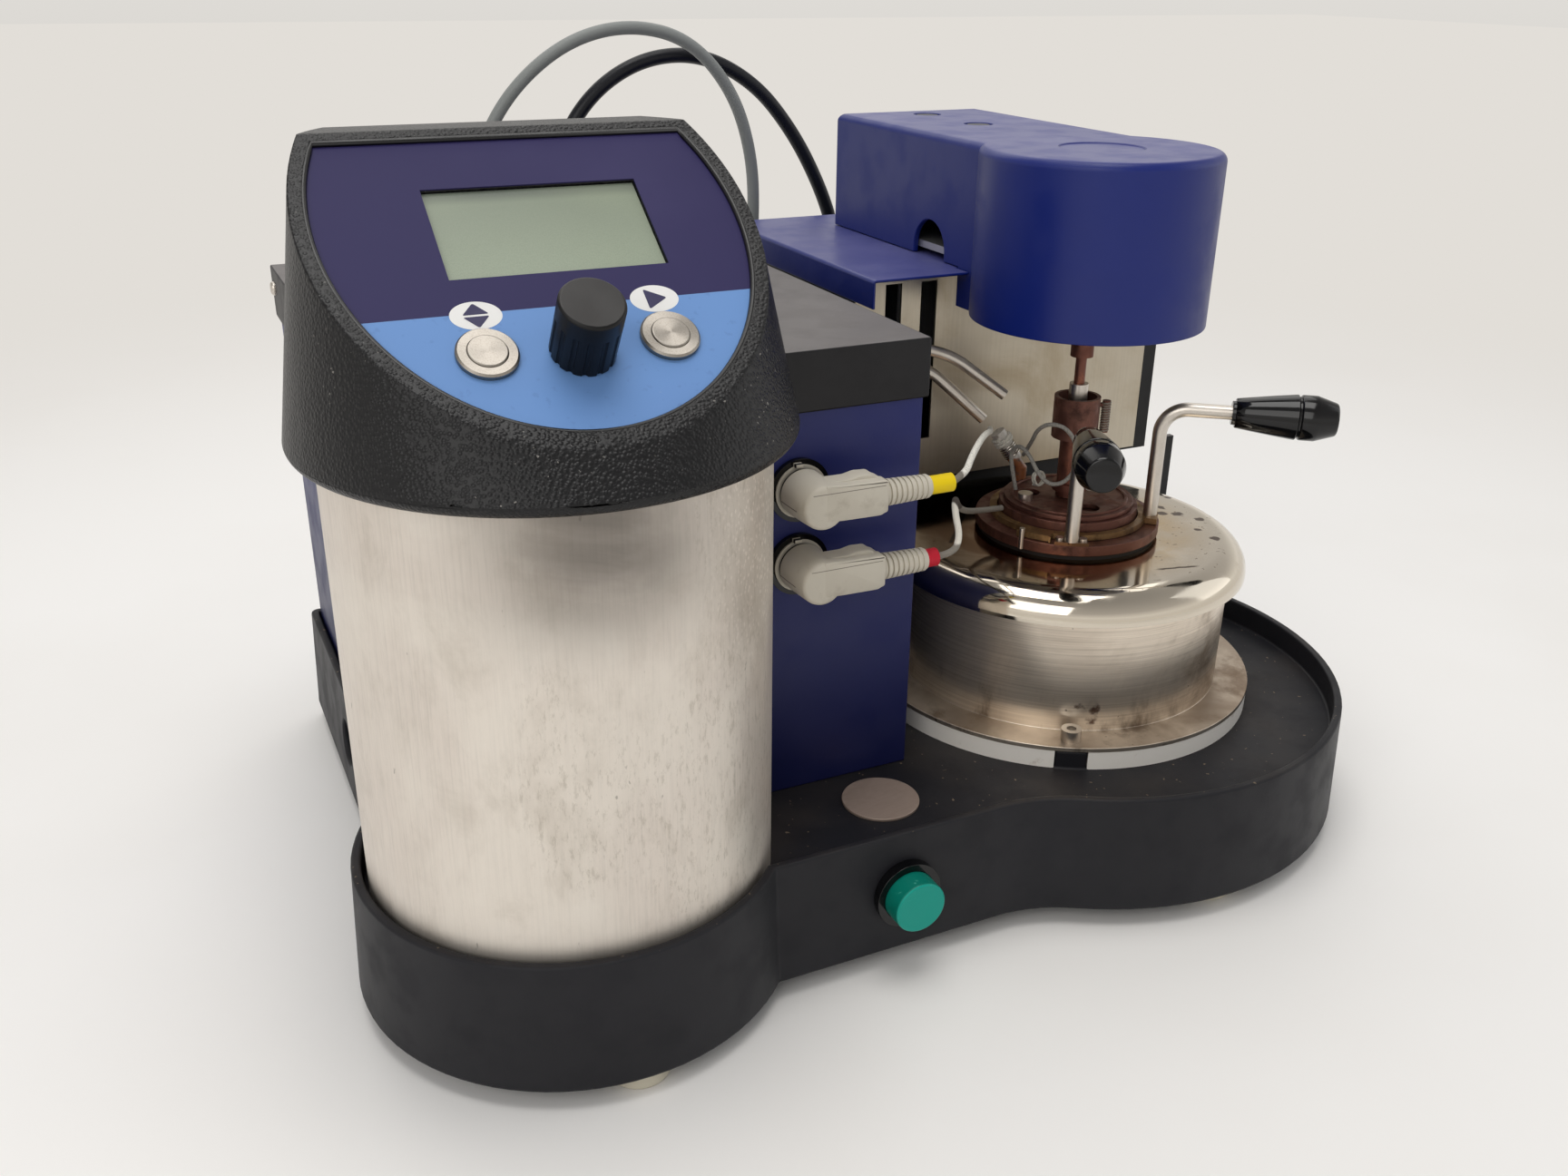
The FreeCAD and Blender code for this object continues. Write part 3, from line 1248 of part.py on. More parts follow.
def make_tower():
    """Tower chassis, steel front panel, shelf, side bracket and the posts' guide."""
    overhang_z = panel_bottom - sheet
    lower_front = stove_y + stove_flange_r + 2 * gap
    chassis = block(tower_left, tower_right, tower_front, tower_back, floor_top, tower_top)
    chassis = chassis.cut(block(tower_left - overrun, tower_right + overrun, tower_front - overrun, lower_front,
                                floor_top - overrun, overhang_z))
    hollow = block(tower_left + sheet, tower_right - sheet, tower_front + sheet, tower_back - sheet,
                   floor_top + sheet, tower_top + overrun)
    chassis = chassis.cut(hollow.cut(block(tower_left, tower_right, tower_front, lower_front + sheet,
                                           floor_top, overhang_z + sheet)))
    chassis = chassis.cut(block(panel_left + window_border, panel_right - window_border, tower_front - overrun,
                                tower_front + sheet + overrun, panel_bottom + window_border,
                                tower_top - window_border))
    for x in (grey_route[-1][0], black_route[-1][0]):
        chassis = back_hole(chassis, x, gland_z, gland_r + slide_gap, tower_back)
    panel = block(panel_left, panel_right, tower_front - thin_sheet, tower_front, panel_bottom, tower_top)
    for x, width in ((panel_slot_left_x, panel_slot_left_width), (panel_slot_right_x, panel_slot_right_width)):
        panel = panel.cut(block(x - width / 2, x + width / 2, tower_front - overrun, tower_front + overrun,
                                panel_slot_bottom, panel_slot_top))
    save("tower_front_panel", panel)

    left = tower_left - lid_gap - thin_sheet
    right = tower_right + lid_gap + thin_sheet
    back = tower_back + lid_gap
    shelf = block(left, right, shelf_front, back, shelf_top - shelf_flange, shelf_top)
    shelf = shelf.makeFillet(shelf_bend_r, [edge for edge in shelf.Edges if edge.BoundBox.YLength > cover_r
                                            and edge.BoundBox.ZMin > shelf_top - gap])
    shelf = shelf.cut(block(left + thin_sheet, right - thin_sheet, shelf_front - overrun, back + overrun,
                            shelf_top - shelf_flange - overrun, tower_top))
    notch_half = cover_half_width + 2 * gap
    notch_back = stove_y + cover_front_depth + 2 * gap
    shelf = shelf.cut(block(stove_x - notch_half, stove_x + notch_half, shelf_front - overrun, notch_back,
                            shelf_top - shelf_flange - overrun, shelf_top + overrun))
    for side in (-1, 1):
        shelf = shelf.cut(upright(post_r + 2 * gap, tower_top - overrun, shelf_top + overrun,
                                  stove_x + side * post_pitch, post_y))
    save("tower_shelf", shelf)

    upright_strip = block(bracket_x, bracket_x + bracket_width, bracket_y, bracket_y + bracket_thickness,
                          floor_top, bracket_top)
    strip_foot = block(bracket_x, bracket_x + bracket_width, bracket_y - bracket_foot, bracket_y,
                       floor_top, floor_top + bracket_thickness)
    save("tower_chassis", group([chassis, joined([upright_strip, strip_foot])]))

    half = post_pitch + post_r + guide_margin
    guide_low = tower_top - guide_height
    guide = block(stove_x - half, stove_x + half, post_y - guide_depth / 2, post_y + guide_depth / 2,
                  guide_low, tower_top)
    web = block(stove_x - guide_web / 2, stove_x + guide_web / 2, post_y, tower_back - sheet,
                guide_low, tower_top)
    guide = joined([guide, web])
    posts = []
    for side in (-1, 1):
        x = stove_x + side * post_pitch
        guide = guide.cut(upright(post_r + running_gap, guide_low - overrun, tower_top + overrun, x, post_y))
        posts.append(upright(post_r, post_bottom, carriage_bottom, x, post_y))
    save("post_guide", guide)
    save("lift_posts", group(posts))


def keyhole(inset, low, high):
    """The cover's plan, a round front on a straight body, drawn in by an inset."""
    half = cover_half_width - inset
    return joined([
        upright(cover_r - inset, low, high, stove_x, stove_y),
        block(stove_x - half, stove_x + half, stove_y, cover_back - inset, low, high),
    ])


def make_lifting_head():
    """Cover, carriage, screws, motor, drive shaft and its collar."""
    outer = keyhole(0, cover_bottom, cover_top)
    top_edges = [edge for edge in outer.Edges if edge.BoundBox.ZMin > cover_top - gap]
    outer = outer.makeFillet(cover_edge_r, top_edges)
    inner_top = cover_top - cover_wall
    cover = outer.cut(keyhole(cover_wall, cover_bottom - overrun, inner_top))
    cut_y = stove_y + cover_front_depth
    cover_low = shelf_top + gap
    reach = 2 * cover_r
    cover = cover.cut(block(stove_x - reach, stove_x + reach, cut_y, cover_back + reach, 0, cover_low))
    arch_r = (arch_back - arch_front) / 2
    arch_y = (arch_back + arch_front) / 2
    arch_x = stove_x - cover_half_width
    arch_z = arch_top - arch_r
    cover = cover.cut(block(arch_x - overrun, arch_x + overrun, arch_front, arch_back, 0, arch_z))
    cover = cover.cut(rod(arch_r, Vector(arch_x - overrun, arch_y, arch_z), Vector(arch_x + overrun, arch_y, arch_z)))
    cover = cover.cut(upright(cover_recess_r, cover_top - cover_recess, cover_top + overrun, stove_x, stove_y))
    screws = []
    pillars = []
    for y in (head_screw_near_y, head_screw_far_y):
        seat = cover_top - head_screw_recess
        cover = cover.cut(upright(head_screw_recess_r, seat, cover_top + overrun, stove_x, y))
        cover = cover.cut(upright(head_screw_r, 0, cover_top + overrun, stove_x, y))
        head = upright(head_screw_head_r, seat, cover_top - gap, stove_x, y)
        screws.append(joined([head, upright(head_screw_r, seat - head_screw_reach, seat, stove_x, y)]))
        pillar = upright(pillar_r, carriage_top, inner_top, stove_x, y)
        pillars.append(pillar.cut(upright(head_screw_r, seat - head_screw_reach, cover_top, stove_x, y)))
    save("head_cover", cover)
    save("head_screws", group(screws))

    carriage = keyhole(cover_wall + gap, carriage_bottom, carriage_top)
    carriage = carriage.cut(upright(motor_boss_r + gap, 0, cover_top, stove_x, stove_y))
    save("head_carriage", joined([carriage] + pillars))
    motor_top = carriage_top + motor_height
    boss_low = carriage_top - carriage_thickness - motor_boss
    motor = joined([
        upright(motor_r, carriage_top, motor_top, stove_x, stove_y),
        upright(motor_boss_r, boss_low, carriage_top, stove_x, stove_y),
    ])
    shaft_top = carriage_top + shaft_reach
    motor = motor.cut(upright(shaft_r + running_gap, boss_low - overrun, shaft_top + gap, stove_x, stove_y))
    save("stirrer_motor", motor)
    shaft = upright(shaft_r, shaft_bottom, shaft_top, stove_x, stove_y)
    save("drive_shaft", group([shaft, ring(collar_r, shaft_r, collar_bottom, collar_top, stove_x, stove_y)]))


def make_steel_tubes():
    """Two bent steel tubes that leave the tower's slot, cut square at their free ends."""
    tubes = []
    for route in (upper_tube_route, lower_tube_route):
        points = [Vector(*place) for place in route]
        outer, length, radii = swept(points, steel_tube_r)
        print("steel tube length", round(length, 1), "radii", [round(r, 1) for r in radii])
        tubes.append(outer.cut(swept(points, steel_tube_bore_r)[0]))
    save("steel_tubes", group(tubes))


def elbow_glands(route, y, cable_r):
    """Elbow glands at a cable's two ends: a nut on the wall, a body and an upturned mouth."""
    glands = []
    for (x, z), wall in ((route[0], box_back), (route[-1], tower_back)):
        nut = rod(gland_nut_r, Vector(x, wall, gland_z), Vector(x, wall + gland_nut, gland_z))
        arm = rod(gland_r, Vector(x, wall - sheet, gland_z), Vector(x, y, gland_z))
        elbow = Part.makeSphere(gland_r, Vector(x, y, gland_z))
        tip_low = z - gap - gland_nut
        mouth = upright(gland_r, gland_z, tip_low, x, y)
        tip = Part.makeCone(gland_r, cable_r + thin_sheet, gland_nut, Vector(x, y, tip_low))
        glands.append(joined([nut, arm, elbow, mouth, tip]))
    return glands


def make_cables():
    """The two looped cables behind the instrument and the leads to the lid."""
    grey = [Vector(x, grey_y, z) for x, z in grey_route]
    black = [Vector(x, black_y, z) for x, z in black_route]
    save("grey_cable", cord("grey_cable", grey, grey_cable_r))
    save("black_cable", cord("black_cable", black, black_cable_r))
    grey_glands = elbow_glands(grey_route, grey_y, grey_cable_r)
    save("cable_glands", group(grey_glands + elbow_glands(black_route, black_y, black_cable_r)))
    save("upper_lead", cord("upper_lead", [Vector(*p) for p in upper_lead_route], lead_r))
    save("lower_lead", cord("lower_lead", [Vector(*p) for p in lower_lead_route], lead_r))
    save("ignitor_loop", cord("ignitor_loop", [Vector(*p) for p in loop_route], loop_r))


tray_outer, base_screws = make_tray()
make_green_button(tray_outer)
make_column()
make_head()
make_face()
lid_screws = make_housing()
make_sockets()
flange_screws = make_stove()
lock_pin = make_cup()
handle_screws = make_handles()
save("screws_and_pin", group(base_screws + lid_screws + flange_screws + handle_screws + [lock_pin]))
make_lid()
make_stirrer()
make_tower()
make_lifting_head()
make_steel_tubes()
make_cables()
print("nodes", len(made), "origin", round(origin_x, 3), round(origin_y, 3))
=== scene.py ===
"""Looks of the flash point tester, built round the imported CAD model.

Lengths are in metres in the model's frame. Places read off the source part, which counts in
millimetres from the display column's axis, come through at().
"""
import json
import math

import bmesh
import bpy
from mathutils import Matrix, Vector

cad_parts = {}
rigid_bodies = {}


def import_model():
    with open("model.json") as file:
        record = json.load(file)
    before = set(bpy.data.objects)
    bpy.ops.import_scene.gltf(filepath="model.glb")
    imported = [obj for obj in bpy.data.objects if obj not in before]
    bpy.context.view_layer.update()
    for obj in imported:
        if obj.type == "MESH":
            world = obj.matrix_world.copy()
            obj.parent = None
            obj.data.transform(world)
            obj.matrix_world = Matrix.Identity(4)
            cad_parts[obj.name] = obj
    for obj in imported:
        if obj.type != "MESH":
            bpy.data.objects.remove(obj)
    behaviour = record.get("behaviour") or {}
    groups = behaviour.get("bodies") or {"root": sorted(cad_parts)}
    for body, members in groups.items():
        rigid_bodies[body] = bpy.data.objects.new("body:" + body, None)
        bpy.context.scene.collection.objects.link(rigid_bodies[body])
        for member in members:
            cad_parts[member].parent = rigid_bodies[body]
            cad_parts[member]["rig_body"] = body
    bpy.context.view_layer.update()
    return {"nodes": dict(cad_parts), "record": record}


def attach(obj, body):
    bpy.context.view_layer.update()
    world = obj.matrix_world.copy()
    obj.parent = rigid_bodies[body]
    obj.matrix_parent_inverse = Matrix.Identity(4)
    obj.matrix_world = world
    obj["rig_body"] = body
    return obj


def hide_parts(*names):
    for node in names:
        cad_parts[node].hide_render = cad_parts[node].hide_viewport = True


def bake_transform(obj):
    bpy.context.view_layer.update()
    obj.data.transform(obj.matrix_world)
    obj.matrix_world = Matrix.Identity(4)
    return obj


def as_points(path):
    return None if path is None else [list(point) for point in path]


MM = 0.001

# Places on the source part, in its millimetres. U, V and W count on the head's sloping face.

ORIGIN = Vector((143.8, 77.7, 0.0))
STOVE = Vector((246.4, 49.2, 0.0))
FACE_Z = 274.5
FACE_TILT = math.radians(35.26)
FACE_NORMAL = Vector((0.0, -math.sin(FACE_TILT), math.cos(FACE_TILT)))
PRINT_W = -1.5
COLOUR_SPLIT_V = -32.3
WINDOW_LOW_V = -20.0
WINDOW_HIGH_V = 17.2
BUTTON_U = 27.3
BUTTON_V = -49.2
LEFT_OVAL = Vector((-26.7, -34.2))
RIGHT_OVAL = Vector((27.5, -33.8))
OVAL_LONG = 7.6
OVAL_SHORT = 5.3
PLUG_X = 94.0
PLUG_Z = 171.5
PLUG_PITCH = 29.0
PLUG_SPLIT_Z = 157.0
HANDLE_Z = 175.3
FOOT_TOP_Z = 126.05

# The photograph's camera, in degrees, metres and millimetres of lens

CAMERA_AZIMUTH = 25.672
CAMERA_PITCH = 24.022
CAMERA_ROLL = 0.654
CAMERA_PLACE = (-0.263755, -0.503246, 0.347867)
CAMERA_LENS = 32.531

# Lamps: place, size, power and colour. They face LAMP_TARGET.

LAMP_TARGET = (0.0, 0.0, 0.12)
LAMPS = {
    "key": ((-1.3, -1.2, 1.2), (1.4, 1.2), 10.5, (1.0, 0.985, 0.96)),
    "overhead": ((-0.1, -0.1, 2.0), (1.1, 1.1), 15.0, (1.0, 0.99, 0.97)),
    "behind": ((0.3, 1.2, 1.5), (2.2, 1.2), 10.0, (1.0, 0.985, 0.96)),
    "side": ((1.6, -0.5, 0.9), (1.0, 1.2), 2.4, (0.96, 0.98, 1.0)),
}

# Width of the rounded edges of each piece that has them, in millimetres

ROUNDED = {
    "base_tray": 1.1, "housing_box": 0.7, "housing_lid": 0.9, "tower_shelf": 0.5, "head_cover": 0.5,
    "test_cup": 0.3, "cup_lid": 0.3, "lid_cover_plate": 0.3, "green_button_body": 0.2,
    "stove_drum": 0.3, "badge_disc": 0.3, "display_head": 0.6,
}

# Radius and length of each cord, in millimetres

CORD_SIZES = {
    "grey_cable": (3.0, 329.0), "black_cable": (3.5, 305.6), "upper_lead": (1.3, 112.5),
    "lower_lead": (1.3, 112.5), "ignitor_loop": (0.9, 121.9),
}

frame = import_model()
slots = {part["node"]: part["material_slot"] for part in frame["record"]["subparts"]}
nodes = frame["nodes"]


def at(x, y, z):
    """A point of the source part, in the model's frame."""
    return (Vector((x, y, z)) - ORIGIN) * MM


def x_at(x):
    return at(x, 0, 0).x


def y_at(y):
    return at(0, y, 0).y


def z_at(z):
    return at(0, 0, z).z


def on_face(u, v, w):
    """A point given on the head's sloping face, in the model's frame."""
    across, up = math.cos(FACE_TILT), math.sin(FACE_TILT)
    return at(u, v * across - w * up, FACE_Z + v * up + w * across)


def face_y(v):
    return on_face(0, v, 0).y


def shade(colour, share):
    """A colour made darker or lighter."""
    return tuple(channel * share for channel in colour[:3]) + (1.0,)


def rgb(red, green, blue):
    """A display colour from 0 to 255, as the shader takes it."""
    def linear(value):
        share = value / 255
        return share / 12.92 if share <= 0.04045 else ((share + 0.055) / 1.055) ** 2.4
    return (linear(red), linear(green), linear(blue), 1.0)


def add_object(name, data):
    made = bpy.data.objects.new(name, data)
    bpy.context.scene.collection.objects.link(made)
    return made


# Camera and lights

def place_camera():
    """The photograph's camera."""
    data = bpy.data.cameras.new("camera")
    data.sensor_width = 36
    data.lens = CAMERA_LENS
    data.clip_start = 0.01
    camera = add_object("camera", data)
    yaw, pitch, roll = (math.radians(degrees) for degrees in (CAMERA_AZIMUTH, CAMERA_PITCH, CAMERA_ROLL))
    ahead = Vector((math.sin(yaw) * math.cos(pitch), math.cos(yaw) * math.cos(pitch), -math.sin(pitch)))
    right = Vector((math.cos(yaw), -math.sin(yaw), 0))
    up = right.cross(ahead)
    rolled_right = math.cos(roll) * right + math.sin(roll) * up
    rolled_up = math.cos(roll) * up - math.sin(roll) * right
    turn = Matrix((rolled_right, rolled_up, -ahead)).transposed()
    camera.matrix_world = Matrix.Translation(CAMERA_PLACE) @ turn.to_4x4()
    bpy.context.scene.camera = camera


def soft_lamp(name, place, size, power, colour):
    """A rectangular area lamp that faces the object."""
    data = bpy.data.lights.new(name, "AREA")
    data.shape = "RECTANGLE"
    data.size, data.size_y = size
    data.energy = power
    data.color = colour
    lamp = add_object(name, data)
    lamp.location = place
    lamp.rotation_euler = (Vector(LAMP_TARGET) - Vector(place)).to_track_quat("-Z", "Y").to_euler()


# The room that metal sees, from eye level to overhead, and the even light on everything else

SKY = ((0.45, (214, 211, 206)), (0.56, (236, 233, 228)), (0.70, (190, 187, 183)), (1.0, (150, 148, 146)))
EVEN_LIGHT = rgb(238, 238, 240)
EVEN_POWER = 0.42


def light_scene():
    """Large soft lamps, and a world that metal sees as a room: pale at eye level and dimmer overhead."""
    bpy.context.scene.view_settings.view_transform = "Standard"
    for name, (place, size, power, colour) in LAMPS.items():
        soft_lamp(name, place, size, power, colour)
    world = bpy.data.worlds.new("world")
    bpy.context.scene.world = world
    world.use_nodes = True
    tree = world.node_tree
    tree.nodes.clear()
    add = tree.nodes.new
    link = tree.links.new
    place = add("ShaderNodeTexCoord")
    split = add("ShaderNodeSeparateXYZ")
    lift = add("ShaderNodeMapRange")
    lift.inputs[1].default_value = -1
    height = add("ShaderNodeValToRGB")
    stops = height.color_ramp.elements
    stops.remove(stops[0])
    stops[0].position, stops[0].color = SKY[-1][0], rgb(*SKY[-1][1])
    for position, colour in SKY[:-1]:
        stops.new(position).color = rgb(*colour)
    link(place.outputs["Generated"], split.inputs[0])
    link(split.outputs[2], lift.inputs[0])
    link(lift.outputs[0], height.inputs[0])
    seen, lit, pick = add("ShaderNodeBackground"), add("ShaderNodeBackground"), add("ShaderNodeMixShader")
    link(height.outputs[0], seen.inputs[0])
    lit.inputs[0].default_value = EVEN_LIGHT
    lit.inputs[1].default_value = EVEN_POWER
    link(seen_directly(tree), pick.inputs[0])
    link(lit.outputs[0], pick.inputs[1])
    link(seen.outputs[0], pick.inputs[2])
    link(pick.outputs[0], add("ShaderNodeOutputWorld").inputs[0])


def seen_directly(tree):
    """One for what the camera, a reflection or glass shows, and zero for light that falls on the object."""
    path = tree.nodes.new("ShaderNodeLightPath")
    value = path.outputs["Is Camera Ray"]
    for name in ("Is Glossy Ray", "Is Transmission Ray"):
        either = tree.nodes.new("ShaderNodeMath")
        either.operation = "MAXIMUM"
        tree.links.new(value, either.inputs[0])
        tree.links.new(path.outputs[name], either.inputs[1])
        value = either.outputs[0]
    return value


# Looks

class Look:
    """A procedural material: a base look, then layers of colour, gloss and relief in object space."""

    def __init__(self, name, colour, roughness, metallic=0.0, coat=0.0, specular=0.5):
        self.material = bpy.data.materials.new(name)
        self.material.use_nodes = True
        self.tree = self.material.node_tree
        self.shader = self.tree.nodes["Principled BSDF"]
        self.feed("Metallic", metallic)
        self.feed("Coat Weight", coat)
        self.feed("Coat Roughness", 0.15)
        self.feed("Specular IOR Level", specular)
        self.place = self.add("TexCoord").outputs["Object"]
        self.colour = colour
        self.roughness = roughness
        self.normal = None
        self.feed("Base Color", colour)
        self.feed("Roughness", roughness)

    def add(self, kind, **settings):
        made = self.tree.nodes.new("ShaderNode" + kind)
        for key, value in settings.items():
            setattr(made, key, value)
        return made

    def plug(self, socket, value):
        """Sets a socket, or links it where the value is another node's output."""
        if isinstance(value, bpy.types.NodeSocket):
            self.tree.links.new(value, socket)
        else:
            socket.default_value = value

    def feed(self, name, value):
        self.plug(self.shader.inputs[name], value)

    def stretched(self, stretch):
        if stretch is None:
            return self.place
        mapping = self.add("Mapping")
        self.plug(mapping.inputs["Vector"], self.place)
        mapping.inputs["Scale"].default_value = stretch
        return mapping.outputs[0]

    def noise(self, scale, detail=3.0, stretch=None, distortion=0.0, roughness=0.5):
        made = self.add("TexNoise")
        self.plug(made.inputs["Vector"], self.stretched(stretch))
        settings = {"Scale": scale, "Detail": detail, "Distortion": distortion, "Roughness": roughness}
        for name, value in settings.items():
            made.inputs[name].default_value = value
        return made.outputs[0]

    def cells(self, scale, stretch=None):
        made = self.add("TexVoronoi")
        self.plug(made.inputs["Vector"], self.stretched(stretch))
        made.inputs["Scale"].default_value = scale
        return made.outputs["Distance"]

    def between(self, value, low, high, bottom=0.0, top=1.0):
        """A value carried from one range to another, smoothly and held at the ends."""
        made = self.add("MapRange", interpolation_type="SMOOTHSTEP")
        for socket, given in zip(made.inputs, (value, low, high, bottom, top)):
            self.plug(socket, given)
        return made.outputs[0]

    def calc(self, operation, first, second):
        made = self.add("Math", operation=operation)
        self.plug(made.inputs[0], first)
        self.plug(made.inputs[1], second)
        return made.outputs[0]

    def both(self, first, *others):
        """The product of masks, which is strong where all of them are."""
        for other in others:
            first = self.calc("MULTIPLY", first, other)
        return first

    def axis(self, index, source=None):
        split = self.add("SeparateXYZ")
        self.plug(split.inputs[0], source or self.place)
        return split.outputs[index]

    def facing(self, index):
        """How far the surface faces along an axis."""
        return self.axis(index, self.add("NewGeometry").outputs["Normal"])

    def vector(self, operation, *values):
        """A step of vector arithmetic."""
        made = self.add("VectorMath", operation=operation)
        for socket, value in zip(made.inputs, values):
            self.plug(socket, value)
        return made.outputs

    def radius(self, centre):
        """Distance from an upright axis."""
        gap = self.vector("SUBTRACT", self.place, centre)[0]
        return self.vector("LENGTH", self.vector("MULTIPLY", gap, (1, 1, 0))[0])["Value"]

    def distance(self, centre):
        return self.vector("DISTANCE", self.place, centre)["Value"]

    def paint(self, colour, mask):
        """Lays a colour over what is there, as far as the mask says."""
        made = self.add("Mix", data_type="RGBA", clamp_factor=True)
        self.plug(made.inputs["Factor"], mask)
        self.plug(made.inputs[6], self.colour)
        self.plug(made.inputs[7], colour)
        self.colour = made.outputs[2]
        self.feed("Base Color", self.colour)
        return self

    def wash(self, colour, value, low, high, bottom=0.0, top=1.0, *masks):
        """Lays a colour on as a value goes from one level to another, where the masks let it."""
        return self.paint(colour, self.both(self.between(value, low, high, bottom, top), *masks))

    def gloss(self, roughness, mask):
        made = self.add("Mix", data_type="FLOAT", clamp_factor=True)
        self.plug(made.inputs["Factor"], mask)
        self.plug(made.inputs[2], self.roughness)
        self.plug(made.inputs[3], roughness)
        self.roughness = made.outputs[0]
        self.feed("Roughness", self.roughness)
        return self

    def relief(self, height, depth):
        """A relief whose depth is in millimetres."""
        made = self.add("Bump")
        made.inputs["Distance"].default_value = depth * MM
        self.plug(made.inputs["Height"], height)
        if self.normal:
            self.plug(made.inputs["Normal"], self.normal)
        self.normal = made.outputs[0]
        self.feed("Normal", self.normal)
        return self

    def brushed_round(self, centre, axis, amount, both_sides_of=None):
        """Brushing that runs round an axis, or round it and its mirror image, which draws highlights out."""
        self.feed("Anisotropic", amount)
        gap = self.vector("SUBTRACT", self.place, centre)[0]
        if both_sides_of is not None:
            left = self.calc("LESS_THAN", self.axis(0), both_sides_of)
            shift = (2 * (centre[0] - both_sides_of), 0, 0)
            gap = self.vector("MULTIPLY_ADD", shift, left, gap)[0]
        round_it = self.vector("CROSS_PRODUCT", axis, gap)[0]
        self.feed("Tangent", self.vector("NORMALIZE", round_it)[0])
        return self

    def band(self, value, low, high, soft):
        """One between two levels of a value, with soft ends."""
        fall = self.between(value, high + soft, high - soft)
        return self.both(self.between(value, low - soft, low + soft), fall)

    def dust(self, colour, low, high, amount):
        """Crumbs and a thin film of dust on what faces up."""
        up = self.between(self.facing(2), 0.5, 0.95)
        film = self.between(self.noise(18, 4), 0.4, 0.75, 0, amount)
        crumbs = self.between(self.noise(420, 2), low, high)
        self.paint(colour, self.both(up, film))
        return self.paint(colour, self.both(up, crumbs))


def moulded(name, colour, roughness, grain_scale, grain_depth, mottle=0.15, lift=1.6, specular=0.3):
    """A plastic or painted look with an even grain, slight mottling and rubbed gloss."""
    look = Look(name, colour, roughness, specular=specular)
    pale = tuple(min(1.0, channel * lift + 0.003) for channel in colour[:3]) + (1.0,)
    look.wash(pale, look.noise(22, 5, roughness=0.6), 0.42, 0.72, 0, mottle)
    look.gloss(min(1.0, roughness + 0.12), look.between(look.noise(60, 4), 0.4, 0.7))
    return look.relief(look.noise(grain_scale, 2), grain_depth)


def grained(name, colour, roughness, scale, depth):
    """A coarse cast grain of rounded bumps whose tops are rubbed."""
    look = Look(name, colour, roughness, specular=0.36)
    bumps = look.between(look.cells(scale), 0.1, 0.75)
    worn = look.between(look.noise(26, 4), 0.46, 0.7, 0, 0.3)
    look.wash(rgb(58, 58, 62), bumps, 0.3, 0.0, 0, 1, worn)
    specks = look.between(look.noise(650, 1), 0.73, 0.76, 0, 0.7)
    look.wash(rgb(150, 146, 140), look.noise(16, 3), 0.5, 0.6, 0, 1, specks)
    look.relief(look.noise(scale * 0.8, 3), depth * 0.6)
    return look.relief(bumps, -depth)


def brushed(name, colour, roughness, stretch, stain, amount, metallic=0.85):
    """Sheet steel with fine parallel scratches and cloudy stains."""
    look = Look(name, colour, roughness, metallic=metallic)
    lines = look.noise(1.0, 4, stretch=stretch, roughness=0.65)
    look.wash(shade(colour, 0.84), lines, 0.35, 0.7, 0, 0.45)
    clouds = look.between(look.noise(16, 6, distortion=0.8, roughness=0.62), 0.42, 0.70, 0, amount)
    look.paint(stain, clouds)
    look.gloss(roughness + 0.12, clouds)
    return look.relief(lines, 0.006)


def steel_column():
    """Rolled stainless sheet, satin and warm, with faint brushing, pale clouds, small flecks of wear and
    painted shade below the head.
    """
    look = Look("column_steel", rgb(227, 218, 208), 0.45, metallic=0.74, specular=0.4)
    lines = look.noise(1.0, 5, stretch=(1100, 1100, 40), roughness=0.7)
    look.wash(rgb(176, 170, 161), lines, 0.4, 0.72, 0, 0.26)
    clouds = look.noise(9, 6, distortion=0.9, roughness=0.6)
    look.wash(rgb(240, 234, 224), clouds, 0.44, 0.62, 0, 0.55)
    look.gloss(0.56, look.between(clouds, 0.44, 0.62))
    stains = look.noise(1.0, 6, stretch=(44, 44, 30), distortion=0.3, roughness=0.66)
    look.wash(rgb(176, 165, 150), stains, 0.46, 0.72, 0, 0.3)
    look.wash(rgb(246, 241, 232), stains, 0.46, 0.3, 0, 0.18)
    flecked = look.noise(1.0, 4, stretch=(560, 560, 190), roughness=0.75)
    where = look.between(look.noise(13, 4), 0.45, 0.62)
    look.wash(rgb(176, 166, 151), flecked, 0.5, 0.68, 0, 0.42, where)
    look.wash(rgb(230, 221, 211), flecked, 0.5, 0.34, 0, 0.34, where)
    high = look.between(look.axis(2), z_at(120), z_at(172))
    right = look.between(look.axis(0), x_at(20), x_at(50))
    grains = look.between(look.cells(640, (1, 1, 0.7)), 0.18, 0.42)
    look.paint(rgb(158, 148, 132), look.both(high, right, grains, 0.34))
    marks = look.noise(1.0, 3, stretch=(210, 210, 90))
    look.wash(rgb(122, 112, 100), marks, 0.735, 0.765, 0, 0.5)
    # Painted shade: a soft darkening below the head, across the middle of the column, where the head's shadow
    # falls.
    middle = look.band(look.axis(0), x_at(-34), x_at(22), 26 * MM)
    shaded = look.both(look.between(look.axis(2), z_at(150), z_at(196)), middle)
    look.wash(rgb(98, 92, 86), clouds, 0.36, 0.56, 0.55, 0.85, shaded)
    look.wash(rgb(150, 141, 128), look.axis(2), z_at(50), z_at(62), 0.5, 0.0)
    return look.relief(lines, 0.006)


# Rust by the drum's front screw, and burnt spots on the plate: place and radius, in millimetres

RUST_SPOTS = ((219.6, -18, 64.3, 4.6), (218.4, -17.8, 59.5, 4.2), (213, -15.5, 66, 4.0))
BURNT_SPOTS = ((307.3, 31.5, 2.6), (297.8, 10.7, 2.2), (297.9, 21.6, 1.5), (302.6, 40.9, 2.9),
               (301.2, 50.7, 2.2), (296.5, 44.0, 2.4), (312.7, 60.3, 1.3), (331.1, 73.4, 1.4),
               (291.0, 47.0, 3.2))


